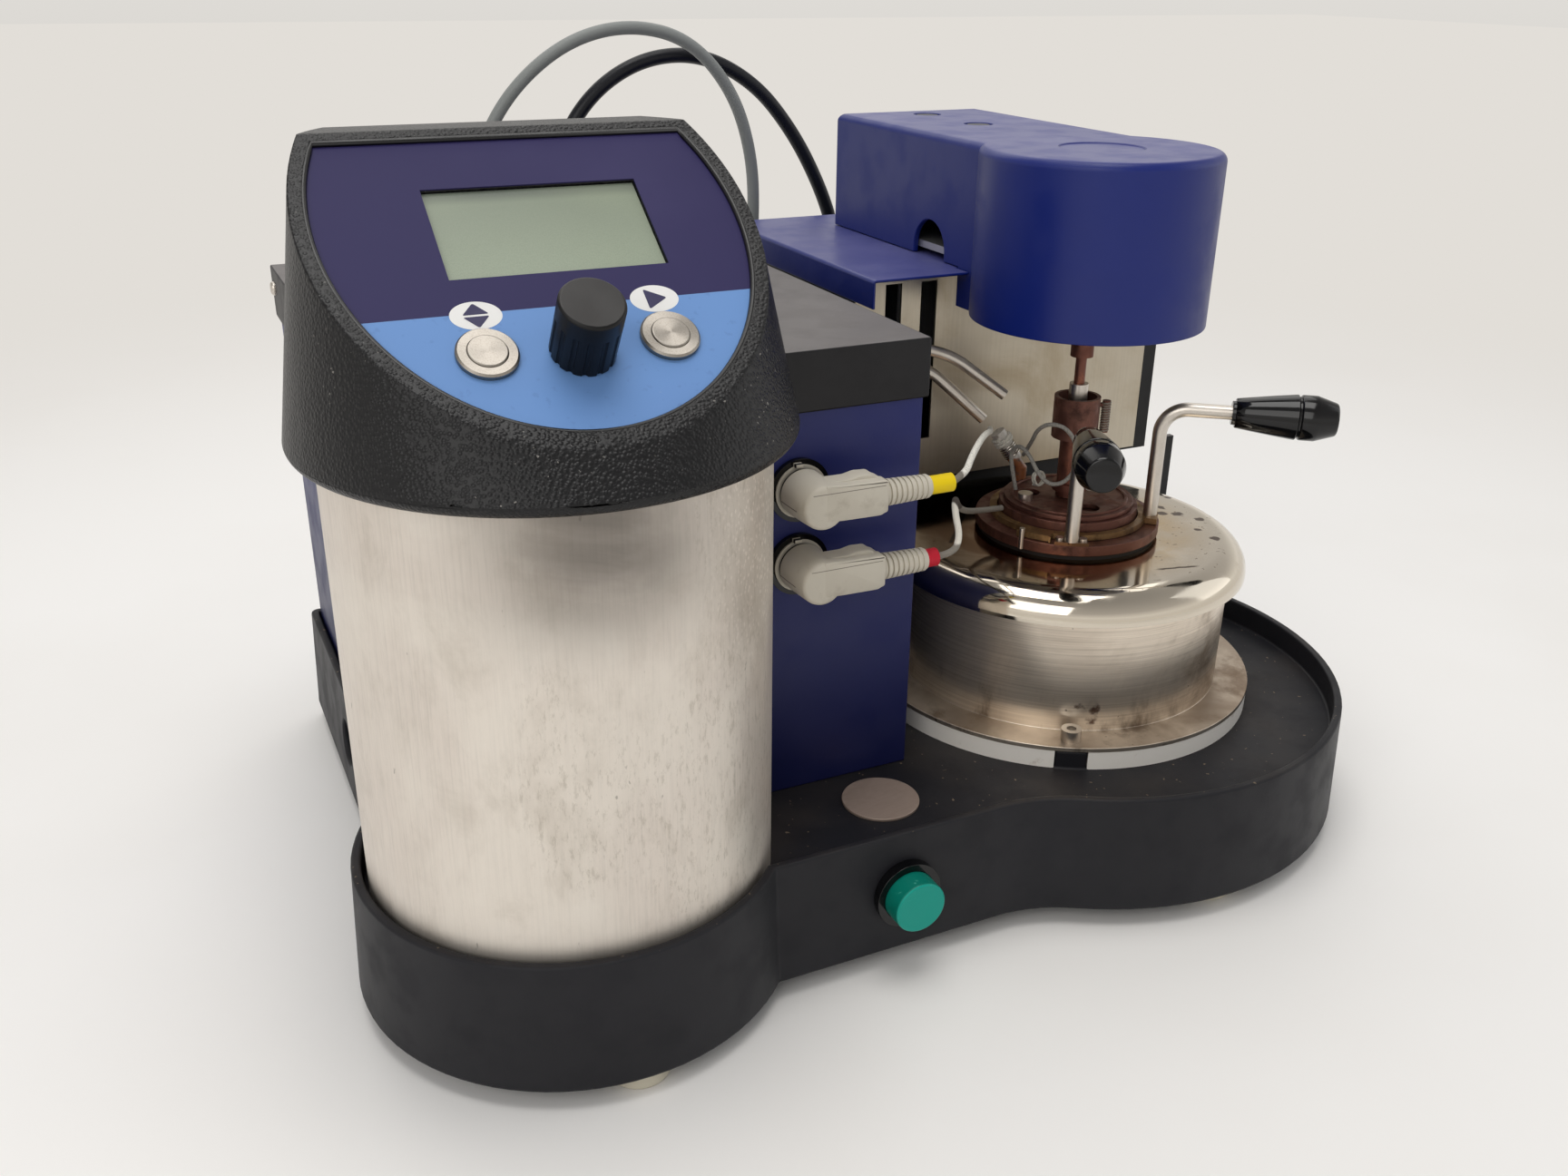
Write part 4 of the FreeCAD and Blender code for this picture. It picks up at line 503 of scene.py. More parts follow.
def steel_drum():
    """The stove's drum, brushed round and round, with brown haze to the right and rust by the front screw."""
    look = Look("drum_steel", rgb(240, 228, 212), 0.31, metallic=0.86)
    rings = look.noise(1.0, 5, stretch=(14, 14, 1500), roughness=0.7)
    look.wash(rgb(182, 168, 150), rings, 0.35, 0.72, 0, 0.5)
    smoke = look.noise(19, 6, stretch=(1, 1, 0.8), distortion=0.9, roughness=0.62)
    right = look.between(look.axis(0), x_at(225), x_at(290), 0.18, 0.85)
    look.wash(rgb(112, 86, 60), smoke, 0.46, 0.68, 0, 1, right)
    low = look.between(look.axis(2), z_at(76), z_at(58))
    runs = look.between(look.noise(1.0, 5, stretch=(70, 70, 30), roughness=0.65), 0.5, 0.7)
    look.paint(rgb(104, 84, 64), look.both(runs, low, 0.7))
    rough_edge = look.both(look.noise(260, 4), 0.010)
    for x, y, z, size in RUST_SPOTS:
        spot = look.calc("ADD", look.distance(at(x, y, z)), rough_edge)
        look.wash(rgb(74, 34, 18), spot, (size + 3.2) * MM, (size + 1.0) * MM, 0, 0.85)
    look.wash(rgb(84, 66, 50), look.noise(1.0, 2, stretch=(300, 300, 300)), 0.75, 0.77, 0, 0.7)
    look.gloss(0.42, look.between(smoke, 0.47, 0.7))
    flat = look.between(look.facing(2), 0.7, 0.95)
    look.gloss(0.5, flat)
    film = look.between(look.noise(34, 5), 0.3, 0.62, 0.3, 0.8)
    look.paint(rgb(150, 133, 116), look.both(flat, film))
    look.brushed_round(at(*STOVE), (0, 0, 1), 0.5)
    return look.relief(rings, 0.005)


def polished_plate():
    """Mirror polish with brown heat tints towards the cup, deepened on the left by a painted reflection of
    the dark tower, burnt spots, a scorched streak at the front and a painted dark reflection line.
    """
    look = Look("plate_polish", rgb(216, 207, 192), 0.07, metallic=1.0)
    from_cup = look.radius(at(*STOVE))
    warm = look.between(from_cup, 0.068, 0.038)
    wander = look.noise(24, 5, distortion=1.1, roughness=0.6)
    look.wash(rgb(206, 178, 132), wander, 0.35, 0.62, 0.25, 0.85, warm)
    # Partly heat tint and partly painted reflection: brown is deepened on the plate's left and on its far
    # left rim, where the dark tower is reflected.
    left = look.between(look.axis(0), x_at(262), x_at(205))
    cloudy = look.between(wander, 0.34, 0.56, 0.55, 0.95)
    look.paint(rgb(140, 92, 56), look.both(warm, left, cloudy))
    far_left = look.between(look.axis(0), x_at(240), x_at(196))
    wide = look.both(look.between(from_cup, 0.078, 0.060), far_left)
    look.wash(rgb(126, 92, 64), wander, 0.3, 0.6, 0.3, 0.85, wide)
    look.gloss(0.16, look.both(warm, look.between(wander, 0.4, 0.62, 0.2, 0.8)))
    flat = look.between(look.facing(2), 0.8, 0.98)
    uneven = look.both(look.noise(190, 3), 0.0055)
    for x, y, size in BURNT_SPOTS:
        spot = look.calc("ADD", look.radius(at(x, y, 0)), uneven)
        burnt = look.between(spot, (size + 3.2) * MM, (size + 2.2) * MM, 0, 0.9)
        look.paint(rgb(66, 42, 28), look.both(flat, burnt))
    look.paint(rgb(84, 66, 50), look.both(scorched_streak(look), flat))
    # Painted reflection: a dark line where the black box's edge is reflected.
    look.paint(rgb(34, 24, 18), look.both(painted_reflection_line(look), flat, 0.9))
    fine = look.between(look.noise(420, 2), 0.70, 0.73, 0, 0.7)
    look.paint(rgb(120, 98, 74), look.both(fine, flat))
    outer = look.between(from_cup, 0.066, 0.076)
    crust = look.both(outer, look.between(look.noise(120, 5, roughness=0.7), 0.56, 0.66))
    to_right = look.between(look.axis(0), x_at(285), x_at(315), 0, 0.7)
    look.paint(rgb(150, 124, 86), look.both(crust, to_right))
    look.gloss(0.17, look.between(look.noise(60, 4), 0.45, 0.65))
    scratches = look.noise(1.0, 3, stretch=(1400, 60, 60))
    return look.relief(scratches, 0.0015)


def scorched_streak(look):
    """A thin wavering streak across the plate's front."""
    streak = look.band(look.axis(0), x_at(253), x_at(270), 0.002)
    slant = look.both(look.calc("SUBTRACT", look.axis(0), x_at(262)), 0.22)
    along = look.calc("ADD", look.axis(1), slant)
    wavering = look.calc("ADD", along, look.both(look.noise(120, 3), 0.003))
    return look.both(streak, look.band(wavering, y_at(-8.1), y_at(-6.7), 0.0004))


def painted_reflection_line(look):
    """A painted reflection of the black box's edge: a dark line that runs from the ring's side towards the
    plate's left edge.
    """
    start, slope = at(227.9, 96.5, 0), Vector((-0.663, -0.747, 0))
    length, half_width, soft = 58 * MM, 0.8 * MM, 0.4 * MM
    east, north = (look.calc("SUBTRACT", look.axis(k), start[k]) for k in (0, 1))
    run = look.calc("ADD", look.both(east, slope.x), look.both(north, slope.y))
    across = look.calc("ADD", look.both(east, -slope.y), look.both(north, slope.x))
    narrow = look.band(across, -half_width, half_width, soft)
    return look.both(look.band(run, 0.0, length, 1 * MM), narrow)


def tarnished(name, colour, roughness, edge_colour):
    """Heated copper alloy: mottled brown with lighter rubbed patches and dark soot."""
    look = Look(name, colour, roughness, metallic=0.75)
    rubbed = look.noise(95, 5, distortion=0.8, roughness=0.65)
    look.wash(edge_colour, rubbed, 0.5, 0.72, 0, 0.55)
    look.wash(rgb(44, 28, 22), look.noise(60, 5, roughness=0.7), 0.52, 0.72, 0, 0.75)
    look.gloss(0.65, look.between(look.noise(140, 3), 0.45, 0.65))
    return look.relief(look.noise(700, 3), 0.03)


def woven(name, colour, roughness):
    """A braided sleeve: crossed fine ribs."""
    look = Look(name, colour, roughness)
    weave = look.noise(1500, 2)
    look.wash(shade(colour, 0.55), weave, 0.5, 0.62, 0, 0.6)
    return look.relief(weave, 0.3)


def printed_overlay():
    """The face's print: dark blue above, light blue below, with a fine tooth and specks of dust."""
    look = Look("overlay_print", rgb(45, 40, 84), 0.5, specular=0.16)
    below = look.calc("LESS_THAN", look.axis(1), face_y(COLOUR_SPLIT_V))
    look.paint(rgb(108, 148, 204), below)
    look.wash(rgb(88, 82, 128), look.noise(13, 4), 0.5, 0.75, 0, 0.10)
    worn = look.between(look.noise(300, 3), 0.62, 0.7, 0, 0.16)
    look.paint(rgb(70, 96, 150), look.both(below, worn))
    specks = look.between(look.cells(120), 0.035, 0.022)
    chosen = look.between(look.noise(34, 2), 0.54, 0.58, 0, 0.7)
    look.paint(rgb(188, 188, 200), look.both(specks, chosen))
    return look.relief(look.noise(1700, 2), 0.01)


def display():
    """Grey-green liquid crystal behind matt glass, shaded along its upper edge by the window's wall."""
    look = Look("display_glass", rgb(150, 160, 140), 0.35, coat=0.1, specular=0.2)
    height = look.axis(1)
    look.wash(rgb(128, 136, 120), height, face_y(WINDOW_LOW_V), face_y(WINDOW_HIGH_V - 0.6), 0, 0.7)
    look.wash(rgb(92, 98, 92), height, face_y(WINDOW_HIGH_V - 4.7), face_y(WINDOW_HIGH_V), 0, 0.8)
    look.wash(rgb(166, 176, 146), look.noise(12, 2), 0.5, 0.7, 0, 0.3)
    dots = look.noise(1.0, 0, stretch=(2600, 2600, 2600))
    look.wash(rgb(124, 136, 118), dots, 0.45, 0.6, 0, 0.2)
    return look.gloss(0.42, look.between(look.noise(45, 4), 0.45, 0.65))


def turned(name, colour, roughness):
    """Machined steel with fine marks and a light brown film."""
    look = Look(name, colour, roughness, metallic=1.0)
    marks = look.noise(1.0, 3, stretch=(1500, 1500, 1500))
    look.wash(shade(colour, 0.8), marks, 0.45, 0.7, 0, 0.3)
    look.wash(rgb(150, 130, 104), look.noise(60, 4), 0.52, 0.72, 0, 0.25)
    return look.relief(marks, 0.005)


def button_steel(name, u, pair=False):
    """Stainless steel turned about a push button's axis, or about both buttons' axes."""
    look = Look(name, rgb(158, 152, 144), 0.36, metallic=1.0)
    centre = on_face(u, BUTTON_V, 0)
    rings = look.noise(1.0, 2, stretch=(2600, 2600, 2600))
    look.wash(rgb(112, 106, 98), rings, 0.45, 0.7, 0, 0.35)
    return look.brushed_round(centre, FACE_NORMAL, 0.8, x_at(0) if pair else None)


def by_height(look, colour, level, soft=0.0004):
    """Lays a colour on everything above a level, or below it where the softness is negative."""
    return look.wash(colour, look.axis(2), level - soft, level + soft)


def plug_plastic():
    """Warm grey plastic with grime, a parting line round the front, and a slit and a hole in each barrel."""
    look = moulded("plug_grey", rgb(204, 197, 182), 0.46, 900, 0.02, mottle=0.4, lift=1.1)
    look.wash(rgb(150, 138, 120), look.noise(80, 5, roughness=0.7), 0.55, 0.76, 0, 0.35)
    height = look.axis(2)
    lower = look.calc("LESS_THAN", height, z_at(PLUG_SPLIT_Z))
    level = look.calc("ADD", height, look.both(lower, PLUG_PITCH * MM))
    front = look.calc("LESS_THAN", look.axis(1), y_at(-12.9))
    dark = rgb(96, 88, 76)
    line = look.band(level, z_at(176.65), z_at(176.95), 0.0001)
    run = look.band(look.axis(0), x_at(89.0), x_at(117.8), 0.0002)
    look.paint(dark, look.both(line, run, front, 0.8))
    left = look.calc("LESS_THAN", look.axis(0), x_at(88))
    slit = look.band(level, z_at(169.3), z_at(169.8), 0.00012)
    reach = look.band(look.axis(1), y_at(-7.5), y_at(4.4), 0.0002)
    look.paint(dark, look.both(slit, reach, left, 0.85))
    for z in (PLUG_Z, PLUG_Z - PLUG_PITCH):
        hole = look.distance(at(84.8, -8.8, z - 3.4))
        look.wash(rgb(14, 12, 12), hole, 0.00105, 0.0008)
    gap = look.band(look.axis(1), y_at(4.5), y_at(5.9), 0.0001)
    return look.paint(rgb(24, 22, 22), gap)


def tray_black():
    """Moulded black with a film of dust and crumbs."""
    look = moulded("tray", rgb(24, 24, 29), 0.5, 1700, 0.03, mottle=0.35)
    return look.dust(rgb(112, 98, 82), 0.70, 0.74, 0.10)


def sheet_black():
    """Black painted sheet, greyed on top by a painted sheen."""
    look = moulded("sheet_black", rgb(15, 14, 18), 0.46, 1500, 0.04, mottle=0.3, lift=1.25,
                     specular=0.36)
    # Painted sheen: the top is greyed where light grazes it.
    top = look.between(look.facing(2), 0.85, 0.98)
    grey = look.between(look.noise(11, 4), 0.25, 0.7, 0.72, 0.9)
    look.paint(rgb(112, 107, 106), look.both(top, grey))
    return look.dust(rgb(128, 124, 118), 0.76, 0.79, 0.18)


def sheet_blue():
    """Dark blue painted sheet whose walls darken towards the tray with painted shade."""
    look = moulded("sheet_blue", rgb(26, 34, 98), 0.42, 1300, 0.03, mottle=0.25, lift=1.25, specular=0.4)
    # Painted shade: the walls go darker towards the tray.
    low = look.between(look.axis(2), z_at(175), z_at(45), 0, 0.6)
    return look.wash(rgb(12, 14, 44), look.facing(2), 0.5, 0.2, 0, 1, low)


def cover_blue():
    """Blue moulding whose top is paler with a painted sheen."""
    look = moulded("cover_blue", rgb(16, 34, 112), 0.36, 1500, 0.01, mottle=0.2, lift=1.2, specular=0.4)
    # Painted sheen: a paler, patchy top where light grazes it.
    top = look.between(look.facing(2), 0.85, 0.98)
    pale = look.between(look.noise(14, 4), 0.36, 0.72, 0.4, 0.66)
    return look.paint(rgb(104, 104, 152), look.both(top, pale))


def sleeve_colours():
    """Red below and yellow above."""
    look = moulded("sleeves", rgb(196, 26, 48), 0.4, 900, 0.02, lift=1.2)
    return by_height(look, rgb(240, 208, 10), z_at(PLUG_SPLIT_Z))


def pad_white():
    """White board with brown stains."""
    look = moulded("pad_white", rgb(255, 250, 241), 0.6, 500, 0.03, mottle=0.3, lift=0.94)
    stains = look.noise(70, 5, roughness=0.7)
    return look.wash(rgb(168, 150, 126), stains, 0.62, 0.8, 0, 0.5)


def button_teal():
    """Green-blue plastic with a darker front and rubbed specks."""
    look = moulded("button_teal", rgb(0, 152, 136), 0.36, 900, 0.02, mottle=0.3, lift=1.2)
    look.wash(rgb(0, 100, 84), look.facing(1), -0.75, -0.3, 0, 0.75)
    specks = look.noise(240, 4, roughness=0.7)
    return look.wash(rgb(90, 190, 170), specks, 0.64, 0.74, 0, 0.5)


def ceramic():
    """Glazed white with grey wear, brown at its foot."""
    look = Look("ceramic", rgb(206, 200, 190), 0.24, coat=0.3)
    look.wash(rgb(150, 92, 58), look.axis(2), z_at(144.5), z_at(143.5))
    look.wash(rgb(96, 84, 72), look.noise(240, 4), 0.5, 0.66, 0, 0.7)
    return look.relief(look.noise(600, 2), 0.1)


def knob_black():
    """Black plastic, greyer on its flat top."""
    look = moulded("knob_black", rgb(11, 11, 13), 0.34, 1500, 0.02, mottle=0.3)
    return look.wash(rgb(40, 38, 37), look.facing(2), 0.6, 0.8)


def handle_steel():
    """The front handle's steel, browned on its foot."""
    look = turned("handle_steel", rgb(208, 201, 192), 0.34)
    return by_height(look, rgb(112, 84, 62), z_at(FOOT_TOP_Z), -0.0001)


def make_looks():
    """One look for each slot of the record, and a few that belong to single nodes."""
    return {
        "black_tray": tray_black(),
        "black_head": grained("head_grain", rgb(9, 9, 12), 0.38, 860, 0.16),
        "black_sheet": sheet_black(),
        "black_plastic": moulded("plastic_gloss", rgb(8, 8, 10), 0.09, 600, 0.002, mottle=0.2,
                                 specular=0.42),
        "stained_steel": brushed("steel_stained", rgb(196, 187, 170), 0.34, (800, 800, 24),
                                 rgb(160, 142, 112), 0.6),
        "polished_steel": polished_plate(),
        "bright_steel": turned("steel_bright", rgb(208, 201, 192), 0.34),
        "blue_sheet": sheet_blue(), "blue_cover": cover_blue(),
        "overlay_print": printed_overlay(), "display_glass": display(),
        "module_grey": moulded("module_grey", rgb(120, 122, 126), 0.5, 900, 0.03),
        "button_green": button_teal(), "plug_grey": plug_plastic(),
        "cable_grey": moulded("cable_grey", rgb(134, 137, 135), 0.42, 900, 0.03, mottle=0.4, lift=1.15),
        "cable_black": moulded("cable_black", rgb(17, 19, 26), 0.36, 900, 0.03, mottle=0.4),
        "lead_white": woven("lead_white", rgb(224, 219, 205), 0.7),
        "sleeve_colour": sleeve_colours(), "white_pad": pad_white(),
        "tarnished_brass": tarnished("brass_tarnished", rgb(110, 74, 64), 0.40, rgb(146, 100, 82)),
        "copper_brown": tarnished("copper_brown", rgb(118, 76, 64), 0.42, rgb(170, 106, 76)),
        "heater_black": moulded("heater_black", rgb(40, 36, 34), 0.6, 500, 0.1, mottle=0.4),
        "rubber_cream": moulded("rubber_cream", rgb(204, 197, 178), 0.55, 700, 0.04, mottle=0.4,
                                lift=0.85),
        "circuit_green": moulded("circuit_green", rgb(22, 92, 58), 0.4, 1200, 0.03, mottle=0.4),
        "aluminium": brushed("aluminium", rgb(190, 190, 192), 0.4, (900, 60, 60), rgb(160, 160, 162), 0.5),
        "ceramic_white": ceramic(),
        "front_handle": handle_steel(),
        "head_screws": turned("screw_black", rgb(40, 40, 52), 0.4),
        "column_shell": steel_column(), "stove_drum": steel_drum(), "control_knob": knob_black(),
        "badge_disc": brushed("badge", rgb(164, 146, 134), 0.5, (260, 900, 900), rgb(128, 112, 98), 0.7,
                              metallic=0.35),
        "locking_ring": tarnished("ring_brass", rgb(132, 104, 70), 0.38, rgb(184, 150, 100)),
        "switch_bodies": button_steel("bezel_steel", BUTTON_U, pair=True),
        "left_button_cap": button_steel("cap_steel_left", -BUTTON_U),
        "right_button_cap": button_steel("cap_steel_right", BUTTON_U),
    }


def look_of(node):
    return looks.get(node, looks[slots[node]]).material


# Pieces

def dress(node):
    """Gives a CAD node its look."""
    data = nodes[node].data
    data.materials.clear()
    data.materials.append(look_of(node))


def new_object(name, data, body, replaces=()):
    """An object that rides on a body and hides the nodes that it replaces."""
    made = add_object(name, data)
    if body:
        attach(made, body)
    if replaces:
        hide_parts(*replaces)
    return made


def body_of(node):
    return nodes[node]["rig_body"]


def to_mesh(work, name, material):
    """Turns worked faces into a mesh of one material."""
    mesh = bpy.data.meshes.new(name)
    work.to_mesh(mesh)
    work.free()
    mesh.materials.append(material)
    return mesh


def sides_of(axis):
    """A direction and two more across it, each a right angle apart."""
    axis = Vector(axis).normalized()
    side = axis.orthogonal().normalized()
    return axis, side, axis.cross(side)


SHARP_ANGLE = math.radians(32.0)
ROUNDING_STEPS = 2


def rounded(node, width, merge_flats):
    """A copy of a node's form with its sharp edges rounded, which stands for the node."""
    work = bmesh.new()
    work.from_mesh(nodes[node].data)
    bmesh.ops.remove_doubles(work, verts=work.verts, dist=2e-6)
    if merge_flats:
        bmesh.ops.dissolve_limit(work, angle_limit=math.radians(0.4), verts=work.verts, edges=work.edges)
    sharp = [edge for edge in work.edges if len(edge.link_faces) == 2
             and edge.calc_face_angle(0.0) > SHARP_ANGLE]
    bmesh.ops.bevel(work, geom=sharp, offset=width, segments=ROUNDING_STEPS, profile=0.6, affect="EDGES",
                    clamp_overlap=False)
    points = [tuple(vertex.co) for vertex in work.verts]
    work.verts.index_update()
    faces = [[vertex.index for vertex in face.verts] for face in work.faces]
    work.free()
    mesh = bpy.data.meshes.new(node + "_form")
    mesh.from_pydata(points, [], faces)
    mesh.materials.append(look_of(node))
    mesh.shade_smooth()
    made = new_object(node + "_form", mesh, body_of(node), (node,))
    made.modifiers.new("weighted", "WEIGHTED_NORMAL").weight = 90


def spline_curve(name, points, radius, material, rings=6):
    """A round bar along one smooth curve whose control points are given."""
    data = bpy.data.curves.new(name, "CURVE")
    data.dimensions = "3D"
    spline = data.splines.new("NURBS")
    spline.points.add(len(points) - 1)
    for control, point in zip(spline.points, points):
        control.co = (*point, 1.0)
    spline.order_u = 3
    spline.use_endpoint_u = True
    data.resolution_u = spline.resolution_u = 16
    data.bevel_depth = radius
    data.bevel_resolution = rings
    data.use_fill_caps = True
    data.materials.append(material)
    return data


def curve_mesh(data, name):
    """The mesh that a curve gives."""
    helper = add_object(name + "_route", data)
    bpy.context.view_layer.update()
    mesh = bpy.data.meshes.new_from_object(helper.evaluated_get(bpy.context.evaluated_depsgraph_get()))
    bpy.data.objects.remove(helper)
    return mesh


def centre_line(points, name):
    """Points along a route's smooth curve."""
    data = spline_curve(name, points, 0.0, look_of("upper_lead"))
    return [tuple(vertex.co) for vertex in curve_mesh(data, name).vertices]


def fixed_cord(node, route):
    """A cord that rides on one body."""
    radius, length = CORD_SIZES[node]
    points = [at(*place) for place in route]
    data = spline_curve(node + "_cord", points, radius * MM, look_of(node))
    made = new_object(node + "_cord", data, body_of(node), (node,))


def bending_lead(node, route, material):
    """A lead that runs from the housing's plug to the cup's lid, as one fixed mesh on no body."""
    radius, length = CORD_SIZES[node]
    points = [at(*place) for place in route]
    mesh = curve_mesh(spline_curve(node + "_cord", points, radius * MM, material), node)
    mesh.shade_smooth()
    made = new_object(node + "_cord", mesh, None, (node,))
    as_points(centre_line(points, node))
    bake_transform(made)


def make_cables():
    """The two cables behind the instrument."""
    grey_y, black_y = 248, 260
    grey = ((38, 192), (36.5, 222), (41, 254), (57, 286), (86, 310), (118, 318.5), (150, 312), (172.5, 288),
            (183, 258), (184.5, 225), (182, 192))
    black = ((74, 192), (75, 222), (83, 254), (100, 284), (128, 302), (160, 304.5), (190, 290), (212, 265),
             (228, 237), (237, 213), (238, 192))
    fixed_cord("grey_cable", [(x, grey_y, z) for x, z in grey])
    fixed_cord("black_cable", [(x, black_y, z) for x, z in black])


def make_leads():
    """The two leads from the housing to the cup's lid, and the ignitor's loop."""
    upper = ((149.7, -7.2, 171.5), (157, -4.5, 173), (165, 5, 174.4), (177, 19, 174), (190, 35, 171),
             (203, 51, 166.5), (214, 65, 161.5), (221, 76, 158.5))
    bending_lead("upper_lead", upper, upper_lead_look())
    lower = ((144.7, -7.2, 142.5), (151.7, -8, 142.9), (155.8, -5.2, 147.9), (156.2, -0.4, 155),
             (162.5, 10.5, 157.6), (173, 24, 147.5), (184, 37, 139.5), (196, 49, 133), (206, 55, 129.8),
             (216, 55, 129.4))
    bending_lead("lower_lead", lower, lower_lead_look())
    loop = ((235.6, 69.8, 146.5), (231.5, 59, 156), (227.5, 50, 165), (229, 43.5, 169.5), (234.5, 38.5, 168),
            (238.8, 36.2, 160), (239.2, 36.2, 150.5), (235.8, 38.4, 143.6), (230, 41.5, 142.2),
            (225.8, 45.2, 147.5), (224.4, 49.5, 154), (223.2, 56, 157), (222.8, 61.5, 152.5),
            (224, 61.5, 144.5), (226, 60, 134.8))
    looks["ignitor_loop"] = woven("loop_grey", rgb(150, 146, 138), 0.6)
    fixed_cord("ignitor_loop", loop)


def upper_lead_look():
    """White weave with a bare grey end at the yellow sleeve."""
    look = woven("lead_upper", rgb(240, 236, 224), 0.7)
    look.wash(rgb(120, 114, 104), look.axis(0), x_at(156), x_at(154.5))
    return look.material


def lower_lead_look():
    """Grey wire from the red sleeve, a white stretch that rises, then dark weave to the lid."""
    look = woven("lead_lower", rgb(74, 66, 60), 0.75)
    look.wash(rgb(232, 227, 214), look.axis(0), x_at(159.5), x_at(158.5))
    look.wash(rgb(136, 130, 120), look.axis(2), z_at(146.5), z_at(145.5))
    return look.material


def join_rings(work, rings):
    """Joins rings of points one after another."""
    for near, far in zip(rings, rings[1:]):
        for k in range(len(near)):
            work.faces.new((near[k], near[k - 1], far[k - 1], far[k]))


def skin(work, rings):
    """Joins rings of points one after another and closes both ends."""
    join_rings(work, rings)
    work.faces.new(rings[0])
    work.faces.new(reversed(rings[-1]))


def add_turning(work, profile, start, axis, count=72):
    """Adds a form turned about an axis, from pairs of a radius and a distance along the axis."""
    axis, side, other = sides_of(axis)
    rings = []
    for radius, along in profile:
        ring = []
        for k in range(count):
            angle = 2 * math.pi * k / count
            out = side * math.cos(angle) + other * math.sin(angle)
            ring.append(work.verts.new(start + (axis * along + out * radius) * MM))
        rings.append(ring)
    skin(work, rings)


def crisp_piece(work, node, name):
    """A smooth-shaded piece with crisp edges that stands for a node."""
    bmesh.ops.recalc_face_normals(work, faces=work.faces)
    mesh = to_mesh(work, name, look_of(node))
    mesh.shade_smooth()
    made = new_object(name, mesh, body_of(node), (node,))
    made.modifiers.new("edges", "EDGE_SPLIT").split_angle = math.radians(40)


# How far behind its front a prism's edge is drawn in, and by how much

EDGE_STEPS = ((0.0, 0.55), (0.18, 0.2), (0.55, 0.0))


def add_prism(work, outline, front, back):
    """Adds a prism whose outline in X and Z runs from one depth to another, its front edge rounded off."""
    middle_x = sum(x for x, _ in outline) / len(outline)
    middle_z = sum(z for _, z in outline) / len(outline)
    rings = []
    for y, inset in [(front + behind, inset) for behind, inset in EDGE_STEPS] + [(back, 0.0)]:
        ring = []
        for x, z in outline:
            out = Vector((x - middle_x, z - middle_z))
            share = 1 - inset / max(out.length, 1.0)
            ring.append(work.verts.new(at(middle_x + out.x * share, y, middle_z + out.y * share)))
        rings.append(ring)
    skin(work, rings)


# An elbow plug: radius and depth along its barrel, then outlines in X and Z from its axis, in millimetres

BARREL = ((8.6, 6.8), (10.0, 6.8), (10.1, 6.0), (8.6, 5.9), (8.6, 4.6), (9.0, 4.4), (8.9, -1.0),
          (8.6, -8.0), (8.3, -12.2), (8.0, -13.1), (7.4, -13.6), (6.7, -13.75))
ARM_FRONT = [(0.0, -5.2), (8.0, -5.7), (22.6, -5.9), (23.6, -5.2), (25.2, -4.9), (25.2, 6.2), (24.4, 7.2),
             (12.5, 7.4), (8.8, 7.5), (4.0, 8.1), (0.0, 8.2)]
ARM_FLANK = [(3.0, -4.8), (25.0, -4.9), (25.6, -4.2), (25.6, 5.4), (24.6, 6.4), (23.0, 6.9), (21.0, 8.5),
             (15.5, 8.8), (11.5, 7.9), (3.0, 8.0)]
ARM_CORNER_R = 0.9
ARM_FRONT_Y = (-13.8, -8.6)
ARM_FLANK_Y = (-9.6, -2.9)
TAB = [(-1.5, 0.0), (1.5, 0.0), (1.5, 1.3), (-1.5, 1.3)]
TAB_R = 9.7
TAB_ANGLE = math.radians(99)
TAB_Y = (4.2, 6.8)


def make_plugs():
    """The elbow plugs: a barrel with its rim and tab, and an arm with a stepped upper flank."""
    work = bmesh.new()
    tab_x, tab_z = TAB_R * math.cos(TAB_ANGLE), TAB_R * math.sin(TAB_ANGLE)
    tab = [(tab_x + x, tab_z + z) for x, z in TAB]
    prisms = ((soft_corners(ARM_FRONT, ARM_CORNER_R), ARM_FRONT_Y),
              (soft_corners(ARM_FLANK, ARM_CORNER_R), ARM_FLANK_Y), (tab, TAB_Y))
    for plug_z in (PLUG_Z, PLUG_Z - PLUG_PITCH):
        add_turning(work, BARREL, at(PLUG_X, 0, plug_z), (0, 1, 0))
        for outline, depths in prisms:
            add_prism(work, [(PLUG_X + x, plug_z + z) for x, z in outline], *depths)
    crisp_piece(work, "elbow_plugs", "elbow_plug_forms")


# A grip: radius and distance along it, from its neck over its cone and groove to its cap, in millimetres

GRIP = ((3.1, 0.0), (4.9, 0.0), (5.0, 0.2), (5.0, 1.4), (5.9, 1.4), (6.2, 1.7), (7.2, 8.6), (8.4, 17.2),
        (9.35, 25.0), (9.4, 25.7), (9.1, 26.1), (8.6, 26.3), (8.6, 27.0), (9.1, 27.2), (9.4, 27.7),
        (9.45, 33.4), (9.3, 33.9), (7.0, 41.0), (6.6, 41.7), (6.1, 42.0), (0.6, 42.0))

# Each handle's upright rod from the stove's axis, its heading in degrees, and its reach to the grip

HANDLES = {"side_grip": (35.6, -38.6, -37.8, 28.0), "front_grip": (37.2, -122.8, -118.9, 17.0)}


def level_way(degrees):
    """A level direction that turns from X towards Y."""
    turn = math.radians(degrees)
    return Vector((math.cos(turn), math.sin(turn), 0))


def make_grips():
    """The turned grips at the ends of both handles."""
    for node, (rod_r, rod_angle, heading, reach) in HANDLES.items():
        outward = level_way(heading)
        start = STOVE + level_way(rod_angle) * rod_r + outward * reach
        work = bmesh.new()
        add_turning(work, GRIP, at(start.x, start.y, HANDLE_Z), outward, 96)
        crisp_piece(work, node, node + "_form")


